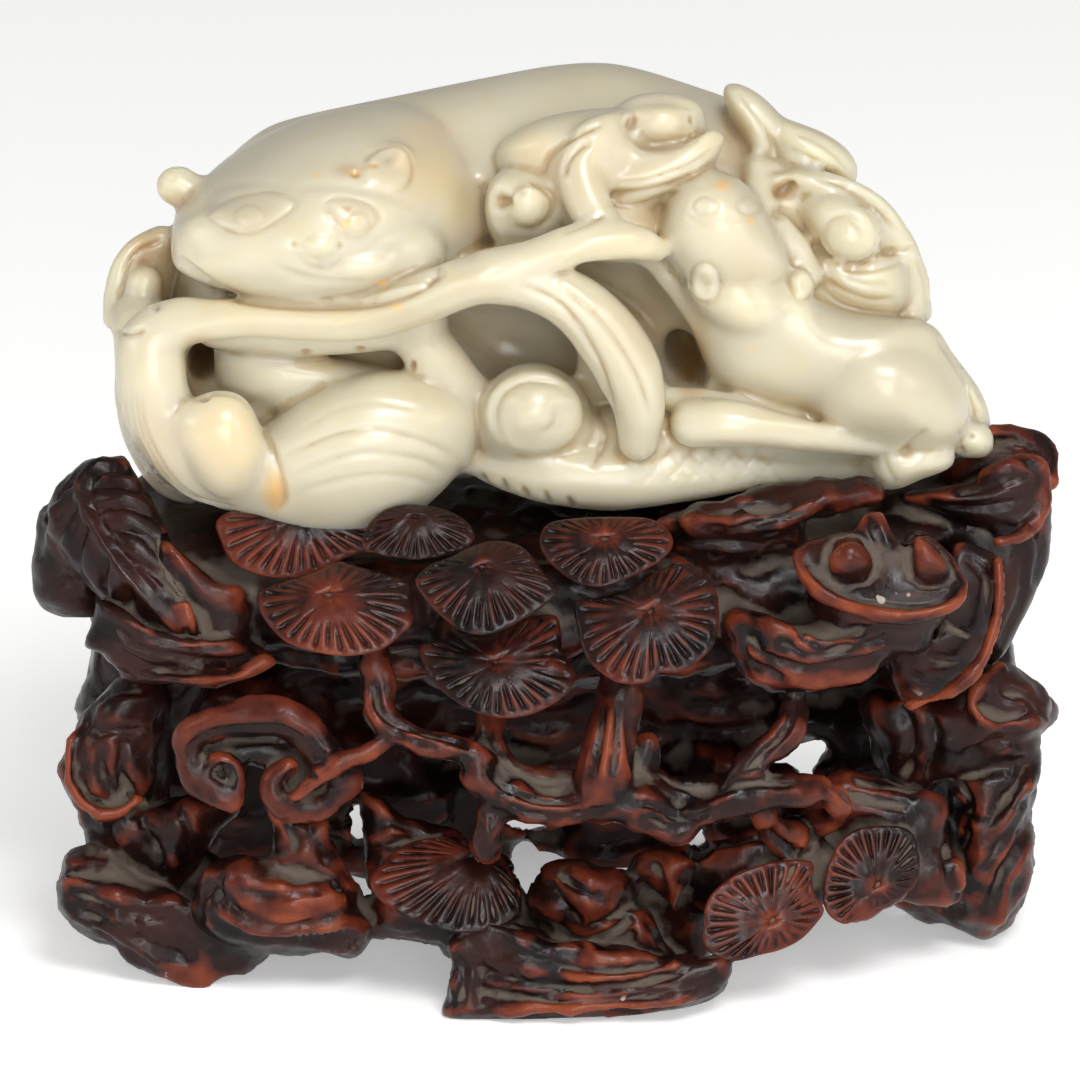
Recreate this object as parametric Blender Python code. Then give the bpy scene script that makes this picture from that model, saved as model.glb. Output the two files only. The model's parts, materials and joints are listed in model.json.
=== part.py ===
"""Carved jade group of a lion-dog and its pup, on its openwork hardwood stand.

The jade is one pebble of pale stone. A big lion-dog lies along it with its broad head at the left,
a spray of branch and fungus crosses its flank, and the pup lies under its tail at the right.
The stand is one block of dark hardwood, cut through into pine branches, discs of needles, leaves
and rocks. It is hollow inside and open below, stands on five feet, and its top is cut to the jade.

Metres, +Z up. The front looks along -Y, and the origin is under the middle of the whole.
Both carvings are free forms, laid out as they are seen by someone who looks down on the front:
a point is given by across (right of the middle), up (above the front foot's edge, as seen) and
back (away from the viewer). These are counted in steps, shares of the carving's own length that
are about a millimetre at the real size.
"""
import math

import bmesh
import bpy
import numpy as np
from mathutils import Euler, Vector, noise

# Driving sizes
STAND_WIDTH = 0.102
JADE_LENGTH = 0.088
SEAT_GAP = 0.0008

# Shares: how many steps the two lengths are
STAND_STEPS = 102.0
JADE_STEPS = 88.0
SEAT_LEVEL = 46.5

# The front view in which the forms are laid out
SIGHT_TILT = math.radians(16.0)
SIGHT_UP = 47.8
SIGHT_HEIGHT = 40.6
EYE_DISTANCE = 1000.0

# Fineness of the carved skins, in steps and triangles
SKIN_STEP = 0.85
SKIN_SOFTENING = 4
JADE_TRIANGLES = 3900
STAND_TRIANGLES = 5900
SEAT_TRIANGLES = 9000
GROUND_BOX = 0.3
HAIR = 0.00001

LOOK_SIN = math.sin(SIGHT_TILT)
LOOK_COS = math.cos(SIGHT_TILT)


def seen(across, up, back):
    """Point in steps that the viewer sees at across and up, at the depth back."""
    rise = up - SIGHT_UP
    height = rise + rise * back * LOOK_COS / EYE_DISTANCE - back * LOOK_SIN
    height /= LOOK_COS + rise * LOOK_SIN / EYE_DISTANCE
    depth = back * LOOK_COS - height * LOOK_SIN
    return Vector((across * (1 + depth / EYE_DISTANCE), back, SIGHT_HEIGHT + height))


def behind(across, height, back):
    """The three numbers for a point on the far side that is given by its height in steps."""
    height -= SIGHT_HEIGHT
    depth = 1 + (back * LOOK_COS - height * LOOK_SIN) / EYE_DISTANCE
    return across / depth, SIGHT_UP + (height * LOOK_COS + back * LOOK_SIN) / depth, back


def new_object(name, mesh_or_curve):
    piece = bpy.data.objects.new(name, mesh_or_curve)
    bpy.context.collection.objects.link(piece)
    return piece


def ball(across, up, back, wide, deep, high, turn=(0, 0, 0)):
    """Egg with three half sizes; turn is in degrees, about Y clockwise as seen."""
    bpy.ops.mesh.primitive_uv_sphere_add(
        segments=32, ring_count=20, radius=1, location=seen(across, up, back),
        rotation=[math.radians(angle) for angle in turn], scale=(wide, deep, high))


def strand(points, deep=1.0):
    """Round branch with round ends through points of (across, up, back, half thickness)."""
    curve = bpy.data.curves.new("strand", "CURVE")
    curve.dimensions = "3D"
    curve.bevel_depth = 1
    curve.bevel_resolution = 3
    curve.resolution_u = 8
    curve.use_fill_caps = True
    spline = curve.splines.new("BEZIER")
    spline.bezier_points.add(len(points) - 1)
    for knot, (across, up, back, half) in zip(spline.bezier_points, points):
        place = seen(across, up, back)
        knot.co = (place.x, place.y / deep, place.z)
        knot.radius = half
        knot.handle_left_type = "AUTO"
        knot.handle_right_type = "AUTO"
    new_object("strand", curve).scale = (1, deep, 1)
    for across, up, back, half in (points[0], points[-1]):
        ball(across, up, back, half, half * deep, half)


def round_line(points, closed, parts):
    """Smooth line through the points, with so many parts between each two."""
    knots = np.array(points, float)
    count = len(knots)
    line = []
    for index in range(count if closed else count - 1):
        if closed:
            before, here, there, after = (knots[(index + k) % count] for k in (-1, 0, 1, 2))
        else:
            before, here = knots[max(index - 1, 0)], knots[index]
            there, after = knots[index + 1], knots[min(index + 2, count - 1)]
        for part in range(parts):
            t = part / parts
            line.append(0.5 * (2 * here + (there - before) * t
                               + (2 * before - 5 * here + 4 * there - after) * t * t
                               + (3 * here - before - 3 * there + after) * t ** 3))
    if not closed:
        line.append(knots[-1])
    return np.array(line)


def skin(rings):
    """Closed mesh over rings with equal counts of points, the first and last closed over."""
    build = bmesh.new()
    loops = [[build.verts.new(point) for point in ring] for ring in rings]
    count = len(loops[0])
    for first, second in zip(loops, loops[1:]):
        for i in range(count):
            j = (i + 1) % count
            build.faces.new((first[i], first[j], second[j], second[i]))
    for loop in (loops[0], loops[-1]):
        middle = build.verts.new(sum((vert.co for vert in loop), Vector()) / count)
        for i in range(count):
            build.faces.new((loop[i], loop[(i + 1) % count], middle))
    bmesh.ops.recalc_face_normals(build, faces=build.faces)
    mesh = bpy.data.meshes.new("skin")
    build.to_mesh(mesh)
    build.free()
    new_object("skin", mesh)


def lobe(outline, back, rise, under=4.0, full=1.0, middle=None, lean=(0, 0)):
    """Pad with the outline as seen. It stands out by rise towards the viewer and by under behind.

    lean is how many steps deeper the pad gets over ten steps to the right and over ten down."""
    line = round_line(outline, True, 6)
    centre = np.array(middle) if middle else line.mean(0)
    rings = []
    for number in range(-9, 10):
        angle = math.pi / 2 * number / 9.35
        share = math.cos(angle)
        swell = math.copysign(abs(math.sin(angle)) ** full, angle)
        ring = []
        for corner in line:
            point = centre + (corner - centre) * share
            depth = back + (rise if swell < 0 else under) * swell
            depth += (lean[0] * (point[0] - centre[0]) - lean[1] * (point[1] - centre[1])) / 10
            ring.append(seen(point[0], point[1], depth))
        rings.append(ring)
    skin(rings)


def body(stations):
    """Long lump through stations of (across, seen top, seen bottom, back, half depth)."""
    rings = []
    for across, top, bottom, back, deep in round_line(stations, False, 5):
        half_seen = max((top - bottom) / 2, deep * LOOK_SIN + 0.3)
        high = math.sqrt(half_seen ** 2 - (deep * LOOK_SIN) ** 2) / LOOK_COS
        centre = seen(across, (top + bottom) / 2, back)
        angles = [2 * math.pi * i / 40 for i in range(40)]
        rings.append([centre + Vector((0, deep * math.cos(a), high * math.sin(a))) for a in angles])
    skin(rings)


def disc(outline, hub, back, down=9.0, right=0.0, dome=1.2, thick=2.4):
    """Domed disc of needles with the outline as seen. The needles spread from the hub.

    down and right are how many steps nearer it comes over ten steps down and to the right."""
    line = round_line(outline, True, 5)
    hub = np.array(hub, float)
    front = [(share, dome * (share ** 2.6 - 1)) for share in (0.05, 0.2, 0.4, 0.6, 0.8, 0.93, 1.0)]
    rear = [(0.95, 0.6 * thick), (0.7, thick), (0.4, thick), (0.1, thick)]
    rings = []
    for share, level in front + rear:
        ring = []
        for corner in line:
            point = hub + (corner - hub) * share
            slope = (down * (hub[1] - point[1]) + right * (point[0] - hub[0])) / 10
            ring.append(seen(point[0], point[1], back - slope + level))
        rings.append(ring)
    skin(rings)


def rock(across, up, back, wide, deep, high, rough, seed, turn=(0, 0, 0)):
    """Lump of rock: an egg whose surface swells and sinks by the share rough."""
    bpy.ops.mesh.primitive_ico_sphere_add(subdivisions=4, radius=1)
    lump = bpy.context.object
    offset = Vector((seed * 7.3, seed * 3.1, seed * 1.7))
    turned = Euler([math.radians(angle) for angle in turn]).to_matrix()
    centre = seen(across, up, back)
    for vert in lump.data.vertices:
        point = vert.co.copy()
        swell = 2 * noise.noise(point * 1.6 + offset) + 0.5 * noise.noise(point * 3.7 + offset)
        point *= 1 + rough * swell
        vert.co = turned @ Vector((point.x * wide, point.y * deep, point.z * high)) + centre


def joined(name, forms):
    """Runs the forms and joins all that they add into one object of this name."""
    before = set(bpy.data.objects)
    for form in forms:
        form()
    added = [piece for piece in bpy.data.objects if piece not in before]
    for piece in bpy.data.objects:
        piece.select_set(piece in added)
    bpy.context.view_layer.objects.active = added[0]
    bpy.ops.object.convert(target="MESH")
    if len(added) > 1:
        bpy.ops.object.join()
    bpy.ops.object.transform_apply(location=True, rotation=True, scale=True)
    whole = bpy.context.object
    whole.name = name
    return whole


def modified(piece, kind, **settings):
    """Adds a modifier with these settings and applies it."""
    modifier = piece.modifiers.new(kind, kind)
    for setting, value in settings.items():
        setattr(modifier, setting, value)
    for other in bpy.data.objects:
        other.select_set(other is piece)
    bpy.context.view_layer.objects.active = piece
    bpy.ops.object.modifier_apply(modifier=modifier.name)


def one_skin(piece, step, softening):
    """Fuses overlapping forms under one closed skin and softens it."""
    modified(piece, "REMESH", mode="VOXEL", voxel_size=step, adaptivity=0)
    if softening:
        modified(piece, "SMOOTH", factor=0.5, iterations=softening)


def cut_away(piece, cutter):
    modified(piece, "BOOLEAN", operation="DIFFERENCE", solver="EXACT", object=cutter)
    bpy.data.objects.remove(cutter)


def keep_largest(piece):
    """Drops crumbs that hang on nothing, so that one body is left."""
    build = bmesh.new()
    build.from_mesh(piece.data)
    left = set(build.verts)
    bodies = []
    while left:
        queue = [left.pop()]
        found = set(queue)
        while queue:
            for edge in queue.pop().link_edges:
                for vert in edge.verts:
                    if vert in left:
                        left.discard(vert)
                        found.add(vert)
                        queue.append(vert)
        bodies.append(found)
    bodies.sort(key=len)
    for crumbs in bodies[:-1]:
        bmesh.ops.delete(build, geom=list(crumbs), context="VERTS")
    build.to_mesh(piece.data)
    build.free()


def thinned(piece, triangles):
    """Collapses edges until so many triangles are left."""
    piece.data.calc_loop_triangles()
    modified(piece, "DECIMATE", ratio=min(1.0, triangles / len(piece.data.loop_triangles)),
             use_collapse_triangulate=True)


def sized(piece, step_size, level=0.0):
    """Turns steps into metres about the point at this level on the middle line."""
    for vert in piece.data.vertices:
        vert.co = (vert.co - Vector((0, 0, level))) * step_size
    piece.data.update()


def jade_body():
    """Rounded back and belly of the pebble."""
    body([(-37.5, 72.8, 61.8, 4, 5), (-36.8, 75.6, 59.3, 3.5, 7.5), (-35, 80.3, 56.8, 3.5, 11.5),
        (-32, 85, 54.3, 3.5, 14.5), (-28, 88.6, 53, 3.5, 16.5), (-24, 90.1, 52.6, 3.5, 16.5),
        (-14, 92.2, 53.3, 3.5, 16.5), (-4, 94.2, 54.4, 3.5, 16.5), (2, 95.2, 54.4, 3.5, 16.5),
        (8, 95.2, 54, 3.5, 16.5), (16, 92.9, 54.4, 3.5, 16.5), (22, 90.6, 54.8, 3.5, 16.5),
        (28, 86.8, 54.8, 3.5, 14.5), (34, 80.1, 54.8, 3.5, 14), (38.5, 69.8, 55.2, 3.5, 11),
        (42, 64.6, 56, 4, 8.5), (44.2, 60.8, 57.2, 3, 4.5)])


def jade_hollows():
    """Hollows ground into the body behind the branch and around the pup."""
    # window under the branch on the left
    ball(-20.5, 65.6, -15, 10.0, 7.0, 2.6, (0, 4, 0))
    ball(-14, 65.2, -14, 3, 5, 1.6)
    ball(-33.8, 65.4, -10, 1.5, 26, 2.3, (0, 25, 0))
    # middle hollow
    lobe([(-10, 70.6), (-8, 71.4), (-4, 72), (0.5, 71.2), (2.2, 69.3), (3.6, 67.3), (3.2, 63.8),
        (-1, 63.3), (-5, 63.3), (-7.8, 66), (-9.3, 68)], -12, 5, 8.0, full=0.6)
    # hollow at the right of the curved tail
    lobe([(2.2, 75), (4, 76), (7, 75.5), (10, 75.4), (12.4, 72.8), (14.6, 69.8), (16, 67.3), (17, 64.8),
        (16, 63.4), (14.4, 62.9), (12.4, 63.4), (11.8, 65.3), (10, 68), (8, 70.8), (5.8, 72.8)],
        -12, 5, 8.5, full=0.6)
    ball(14.6, 65.2, -9, 2.2, 16, 2.6, (0, -30, 0))
    # hollow over the foreleg
    ball(21.2, 63, -15, 4.6, 5, 1.6, (0, 25, 0))
    # recess on the flank between the head and the fungus
    lobe([(-7, 84.3), (-6, 85.8), (-4.2, 85.8), (-4, 83.8), (-5, 80.8), (-4.8, 77.8), (-3.5, 76.8),
        (-6, 76.5), (-8.5, 75.6), (-9.6, 75.6), (-9.2, 77.8), (-8.5, 80.3)], -14, 5, 7.0)
    # pocket between the pup's head and the tail lobes
    lobe([(17.4, 90.6), (18.2, 90), (20, 87.8), (21.2, 85.3), (21, 84), (19.8, 84.6), (17.8, 85.2),
        (18.2, 86.8)], -14, 4, 7.5)
    ball(11.2, 80.3, -16, 1.6, 4, 1.2, (0, -10, 0))


def big_head():
    """Broad head of the big lion-dog, with its ears."""
    body([(-36.8, 79.6, 76, -7, 4), (-36.2, 81.1, 74.8, -7, 8), (-34, 84, 73.6, -6.5, 12.5),
        (-30, 87.2, 72.4, -6, 15), (-25, 89.6, 71.7, -6, 15.8), (-20, 91, 71.6, -6, 15.6),
        (-15, 91.4, 72.2, -5, 14.6), (-11, 90.6, 73.8, -3, 13), (-7, 88.8, 75.6, 0, 12),
        (-4, 86.8, 77.3, 2, 10)])
    lobe([(-36.6, 77.8), (-36, 75.6), (-34, 73.9), (-30, 72.4), (-25, 71.6), (-21, 71.6), (-16, 72.1),
        (-12, 73.3), (-9.4, 75.6), (-11, 79.3), (-19, 81.8), (-29, 81.8), (-35, 80.3)],
        -15, 6.0, 6, full=0.8, lean=(0, -1.5))
    # muzzle and cheeks, low
    ball(-22.2, 76.8, -20.2, 2.0, 1.4, 1.4)
    ball(-18.8, 75.6, -18.0, 6, 3.4, 2.6, (0, -12, 0))
    # ears
    ball(-36.2, 83.2, -4, 2.3, 2.0, 2.1)
    strand([(-35.8, 83, -4, 1.7), (-32.5, 81.5, -4, 2.6)])
    ball(-15.3, 85.1, -13.4, 3.0, 2.4, 2.3, (0, -35, 0))


def limb_and_branch():
    """Bent limb at the left that runs into the forked branch."""
    strand([(-31.4, 52.3, -14, 1.6), (-34, 54.4, -15, 2.8), (-36.4, 57.8, -16, 3.6),
        (-38.3, 61.3, -16, 3.6), (-38.9, 64.6, -16, 3.6), (-38.7, 67.3, -15.5, 3.6),
        (-36.4, 69.4, -16, 2.7), (-33, 69.8, -17, 2.2), (-29, 69.9, -18, 1.9), (-23, 69.6, -18.5, 2.0),
        (-17, 70, -19, 2.2), (-12, 71.8, -20, 2.6), (-7, 73.7, -20.5, 2.6), (-4, 74.2, -20.5, 2.6)])
    strand([(-40, 68.8, -10, 2.8), (-39.4, 64.8, -9, 3.2), (-39, 61.8, -9, 3.6), (-35.2, 56.6, -8, 4.0),
        (-31, 54.4, -8, 3.4)])
    # underside of the branch, joined to the head's throat
    strand([(-32.5, 69.2, -13, 2.2), (-22, 68.8, -13, 2.5), (-12, 70, -14, 2.8)], deep=1.4)
    # upper fork
    strand([(-5, 74.6, -20.5, 2.4), (-0.5, 75.8, -20.5, 2.2), (3.5, 77.4, -20.5, 2.1),
        (7, 77.8, -20, 2.1), (10, 77.5, -19, 1.8), (11.6, 76.8, -17, 1.3)])
    # lower fork, the curved tail
    strand([(-6, 74, -20.5, 2.5), (-1, 73.4, -20, 2.6), (3.3, 71.6, -20, 3.0), (6.7, 68.2, -19.5, 3.4),
        (8.9, 64.6, -19, 3.4), (9.9, 61, -18.5, 2.7), (9.8, 57.8, -17.5, 2.1)], deep=1.1)
    # strut to the bulb
    strand([(-13.5, 69.3, -15, 2.4), (-11, 66.6, -14.5, 2.9), (-8.4, 62.6, -13, 3.2)])


def bulb_and_bud():
    """Swollen leaf at the lower left, its bud, and the leg behind them."""
    lobe([(-25.5, 60.6), (-21, 63.2), (-17, 64.6), (-14, 64.8), (-10, 63.8), (-7, 62), (-6, 59.6),
        (-6.6, 56.6), (-8.4, 54.1), (-10.3, 52.1), (-13, 49.9), (-17, 48.2), (-22, 47.7), (-26, 48.5),
        (-30, 50.3), (-32.6, 51.6), (-32.8, 54.8), (-30, 57.8), (-27.5, 59.3)],
        -13.5, 8.0, 8.5, full=0.9)
    # bud
    lobe([(-35, 61.8), (-32.5, 62.8), (-30, 62.4), (-28.5, 60.6), (-27.4, 57.8), (-27.2, 55.6),
        (-28, 53.4), (-29.7, 52.1), (-31.8, 51.9), (-33.7, 53), (-35.4, 55.2), (-36.8, 57.8),
        (-36.8, 60.3)], -17.5, 4.6, 4, full=0.9)
    # inner leg seen through the window
    lobe([(-32.5, 67), (-29, 67.3), (-24, 66.6), (-18, 65.6), (-13.2, 64.6), (-17, 63.3), (-21, 61.8),
        (-24, 60.6), (-26, 60.2), (-28.5, 61.4), (-30.8, 62), (-32.2, 63.3)], -9.5, 3.2, 5)
    ball(-25.4, 64, -11.5, 1.9, 1.6, 2.4, (0, 10, 0))
    ball(-21.8, 64, -11.5, 2.2, 1.6, 1.9)


def lower_body():
    """Scroll on the haunch and the long lower body along the seat."""
    lobe([(-6.2, 61.8), (-4, 64.5), (-1, 65.6), (1.6, 65.1), (3.7, 63.5), (5, 61.3), (5.2, 58.8),
        (4, 56.6), (1, 55.2), (-3, 55.4), (-5.8, 57), (-6.6, 59.4)], -13.5, 5.4, 6, full=0.9)
    ball(-0.6, 60.4, -17.2, 5.0, 1.9, 4.5)
    ball(-0.6, 60.4, -18.6, 2.6, 1.2, 2.3)
    # lower body
    strand([(-6.8, 55.9, -12.5, 1.6), (-3.5, 55.2, -13.5, 2.5), (0.5, 54.6, -14.5, 3.2),
        (7, 54.1, -14.5, 3.5), (15, 54.6, -13.5, 3.0), (24, 55.2, -12, 2.0), (33, 55.2, -10, 1.7)])
    strand([(2, 57.8, -12, 3), (11, 57.8, -13, 3.2), (18, 57, -12, 3), (28, 56.3, -9, 2.6)])


def pup():
    """The pup: raised head, neck, round haunch, foreleg and paws."""
    # head, torso and haunch
    lobe([(17.2, 84.8), (19.5, 84.3), (21.2, 82.6), (22.8, 80.3), (24.1, 77.6), (24.8, 75), (23, 72.6),
        (19.5, 71.6), (16, 72.6), (13.5, 74.6), (11.8, 77.8), (12.3, 80.6), (13.4, 82.8), (15.2, 84.4)],
        -12.5, 7.8, 7, full=0.85)
    lobe([(13.8, 75), (19, 76.8), (25, 75), (27.5, 72), (31, 70.5), (35, 70), (39, 69.5), (41, 67),
        (42.6, 63.3), (42.8, 59.8), (41, 57.3), (36, 56.8), (31, 57.8), (27, 60.4), (24, 60.9),
        (20.5, 61.9), (17.5, 63.7), (16, 66.6), (14.6, 70.6)], -10.5, 7.0, 8, full=0.8)
    lobe([(27.5, 67.8), (32, 69.3), (37.5, 68.6), (41, 65.6), (42.8, 61.3), (42.5, 58.2), (40, 56.5),
        (35, 56.4), (30.5, 57.1), (27.5, 59), (26, 62.6)], -9.5, 9.6, 9, full=0.95)
    # foreleg and paw, other paws
    strand([(15.4, 59.5, -17, 2.5), (19, 59.5, -17.8, 2.4), (24, 58.7, -17.2, 1.9),
        (30, 57.7, -15.5, 1.4), (34.5, 57.3, -14, 1.3)])
    strand([(12.8, 62, -14.5, 1.3), (16, 61.6, -15, 1.6), (20.5, 61.2, -14.5, 1.0),
        (25, 60, -13.5, 1.2)])
    lobe([(32.2, 56.6), (36, 57.3), (40.5, 57.3), (41.7, 55.8), (40.5, 54.7), (38, 53.8), (36, 52.9),
        (34, 52.8), (32.6, 53.4)], -10.5, 4.6, 4)
    lobe([(40.6, 59.3), (43.5, 59.9), (45, 59), (45.5, 57.5), (44.8, 56.1), (43, 56), (41.3, 56.4)],
        -6.5, 3.2, 4)
    # ears
    ball(16.3, 73.4, -17.2, 1.7, 0.8, 2.1, (0, 8, 0))
    ball(26, 73.4, -14.8, 1.6, 1.0, 1.8, (0, -20, 0))
    # thin leaf at the far right
    lobe([(39.2, 68.8), (42, 65.6), (44.4, 62.1), (45.1, 58.8), (43.5, 57.8), (41.5, 60.8),
        (39.5, 64.8)], -1, 3, 4)


def tail():
    """Bushy tail of the big lion-dog: curl, lobes and outer rim."""
    lobe([(26, 81.5), (28.5, 82.9), (31, 82.7), (33.2, 80.8), (34.5, 78), (33.9, 76.1), (31.8, 75.2),
        (29.5, 75.8), (27.3, 77.6)], -7.5, 5.0, 6)
    lobe([(27.5, 76.8), (30.5, 75.6), (34, 76.2), (36.2, 75.6), (36.8, 72.8), (35.6, 70.4), (32, 70.2),
        (29, 71.5), (27.2, 74)], -7.5, 4.4, 6)
    ball(31.1, 78.5, -11.2, 3.2, 1.6, 3.0)
    ball(31.1, 78.2, -12.4, 1.5, 1.0, 1.4)
    lobe([(26, 84.8), (30, 84), (33.2, 81.8), (36, 79.4), (37.5, 76.8), (38.7, 73.3), (39.2, 69.8),
        (36.5, 69.6), (34, 71.8), (31, 75.8), (27.5, 80.3)], -3, 5, 6)
    strand([(25.5, 84, -8, 1.2), (29.5, 83.2, -8.5, 1.3), (33.2, 81.3, -8, 1.4), (35.5, 78.6, -7, 1.4),
        (37, 75.6, -6.5, 1.4), (37.8, 72.3, -6.5, 1.4), (37.2, 70.2, -7, 1.2)])
    lobe([(18.2, 93), (19.3, 93.6), (21.2, 92.9), (23, 91.5), (24.3, 89.9), (24.8, 87.8), (24, 85.8),
        (22.8, 84.6), (21.4, 83.8), (21.2, 85.8), (20.1, 88.3), (18.8, 90.8)], -2.5, 4.4, 5)
    lobe([(23.6, 90), (26.5, 89.3), (29, 88.2), (31, 86.6), (31.9, 84.8), (31.3, 83.5), (29.5, 83.8),
        (26.5, 84.8), (23.5, 85), (22.8, 87.8)], -3, 4.6, 6)
    strand([(21.6, 85, -8.5, 1.3), (22.1, 82.3, -10.5, 1.6), (23.5, 79.3, -11, 1.8),
        (25.5, 76.6, -11, 1.9), (26.6, 74.2, -11.5, 1.6)])
    ball(24.6, 82.8, -4, 3.0, 3, 3.0)


def fungus_head():
    """Head of fungus on the branch: lobes, curls, knobs and stem."""
    lobe([(-4, 84.6), (-4.4, 86.6), (-3.5, 88), (-1, 89.6), (2.5, 90.6), (7, 91), (10, 89.8),
        (10, 86.8), (6, 83.8), (2, 81.8), (-2.5, 82.8)], -9, 5.5, 6)
    lobe([(-4, 84.7), (-5.2, 83.4), (-5.6, 81), (-5.1, 78.6), (-3.4, 77.2), (-0.5, 77.5), (2, 78.7),
        (3.8, 80.6), (3.6, 83), (1, 84.2), (-2, 84.8)], -12.5, 4.2, 5)
    ball(-1.4, 81.5, -16.6, 1.9, 1.2, 2.3)
    lobe([(7.8, 91.3), (9.8, 92.4), (13, 92.6), (15.7, 91.7), (16.6, 90), (16.2, 88), (14, 86.8),
        (11, 86.2), (8.5, 86.8), (7, 88.8)], -9.5, 4.0, 5)
    ball(12.1, 89.6, -13.2, 2.1, 1.0, 1.6)
    # broad stem from the cap down to the branch
    lobe([(0.5, 84.3), (1.2, 86.6), (3.2, 88.4), (6.2, 89.6), (9.2, 89.2), (10.5, 87), (9, 84.6),
        (6.8, 82.2), (6.6, 79.6), (5, 78.2), (2.8, 79.2), (1.6, 81.6)],
        -13.2, 3.6, 4, full=0.8, lean=(0, -2.5))
    strand([(8.5, 89.4, -12.5, 1.6), (5.4, 87.8, -14.5, 2.2), (4, 85, -15.6, 2.4), (4.6, 82, -17, 2.4),
        (6, 79.3, -18.5, 2.2)], deep=0.8)
    strand([(7, 83.6, -16.2, 0.8), (11, 84.2, -16.6, 1.1), (15, 85.8, -15.8, 1.1),
        (17.8, 88, -13.6, 0.8)])
    lobe([(6.3, 84.8), (10, 85.4), (14, 86.8), (17.2, 88.8), (18.4, 87.8), (17.6, 85.6), (15, 83.4),
        (12.4, 81.5), (10, 80.4), (7, 79.6), (5.4, 81.3)], -11.5, 4.6, 5)
    lobe([(5, 81.8), (9, 81.8), (12, 80.3), (12.2, 76.8), (8, 76), (4.5, 76.8), (2, 77.8)],
        -12.5, 4.0, 5)


def left_edge():
    """Folded leaf and ribbed fan behind the left edge."""
    # folded leaf and knob behind the limb
    lobe([(-43.4, 70.6), (-42.8, 73.3), (-41.8, 76.3), (-40.5, 77.8), (-39, 79), (-37.5, 79.4),
        (-36.4, 77.8), (-36.2, 71.8), (-37, 68.8), (-41, 67.3), (-42.4, 67.3)], -2, 2.4, 4)
    strand([(-42.7, 69.8, -5, 1.2), (-42.4, 73.3, -5, 1.2), (-41.3, 76, -4.5, 1.2),
        (-39.2, 77.8, -3, 1.1), (-37.4, 78, -1, 1.0)])
    lobe([(-41.3, 74.3), (-40, 75.2), (-38.5, 75.1), (-37.7, 73.8), (-38, 72), (-39.2, 71), (-41, 71.3),
        (-41.8, 72.6)], -6.5, 2.6, 4)
    ball(-40, 69.8, -8, 3.0, 4.0, 2.6)
    # ribbed fan behind the lower left
    lobe([(-41.6, 64.8), (-42.4, 61.8), (-42, 58.8), (-40.9, 56.1), (-39.4, 53.7), (-37.4, 52),
        (-35, 51.3), (-31.5, 51.2), (-30, 53.8), (-34, 58.8), (-38, 62.8)], 0, 4, 6)


def far_side():
    """Far side: haunch, shoulder, legs, backbone, mane and the tail's end."""
    # haunch, leg and paw at the right as seen from the front
    ball(*behind(20, 60, 16), 10.5, 9.0, 10.0)
    strand([(*behind(22, 54, 18), 3.6), (*behind(14, 50.5, 19), 3.2), (*behind(4, 49.5, 19.5), 2.6)])
    ball(*behind(1, 49.5, 19.5), 3.6, 2.8, 2.2)
    # shoulder, leg and paw at the left
    ball(*behind(-19, 62, 15.5), 8.5, 8.5, 9.0)
    strand([(*behind(-20, 56, 18), 3.2), (*behind(-26, 51, 17.5), 2.8), (*behind(-32, 50.5, 14), 2.4)])
    ball(*behind(-34.5, 50.5, 12.5), 2.8, 3.0, 2.2)
    # backbone
    strand([(*behind(-24, 77, 16), 1.2), (*behind(-10, 80.5, 16.5), 1.6), (*behind(5, 82, 17), 1.7),
        (*behind(18, 78, 17.5), 1.4), (*behind(28, 68, 17.5), 1.0)])
    # locks of the mane behind the head, and the end of the tail
    strand([(*behind(-27, 74, 16), 1.2), (*behind(-31, 68, 15.5), 1.8), (*behind(-28, 63, 19), 1.6)])
    strand([(*behind(-22, 76, 18), 1.2), (*behind(-27, 70, 19), 1.8), (*behind(-22, 66, 21.5), 1.4)])
    strand([(*behind(30, 74, 8), 2.2), (*behind(36, 66, 12), 2.6), (*behind(34, 56, 14), 2.4),
        (*behind(29, 51, 15), 1.4)])
    strand([(*behind(27, 76, 12), 1.6), (*behind(31, 68, 16), 2.0), (*behind(29, 62, 19), 1.4)])


def seat_and_backing():
    """Seat under the jade, wood behind the discs, and the upper back wall."""
    # seat under the jade, hollow below
    ball(-27, 49.8, 3, 17, 19, 3.4)
    ball(0, 49.3, 2, 28, 19, 3.6)
    ball(26, 51.8, 4, 20, 19, 4.0)
    ball(0, 40.8, 2, 40, 22, 3.0)
    # backing of the upper tier, behind the fans
    lobe([(-37, 42.8), (-28, 44.8), (-14, 45.8), (2, 43.8), (18, 45.8), (32, 45.8), (36, 41.8),
        (32, 35.8), (18, 35.8), (10, 33.8), (2, 32.8), (-9, 32.8), (-16, 36.8), (-26, 36.8),
        (-34, 37.8)], -14, 5, 8, full=0.6)
    lobe([(-6, 44.8), (-2, 45.8), (6, 45.8), (14, 45.8), (16, 41.8), (14, 37.8), (6, 36.8), (-2, 33.8),
        (-9, 34.8), (-10, 39.8)], -22, 2.5, 8, full=0.6)
    # back curtain
    rock(-38, 41.8, 10, 7, 12, 13, rough=0.13, seed=2)
    rock(-27, 41.8, 21, 13, 5, 13, rough=0.13, seed=3)
    rock(-12, 39.8, 25, 13, 5, 15, rough=0.13, seed=6)
    rock(2, 39.8, 26, 14, 5, 14, rough=0.13, seed=4)
    rock(16, 39.8, 26, 13, 5, 14, rough=0.13, seed=7)
    rock(30, 42.8, 23, 13, 6, 13, rough=0.13, seed=5)
    rock(40.5, 42.8, 12, 7, 11, 14, rough=0.13, seed=8)


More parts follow.
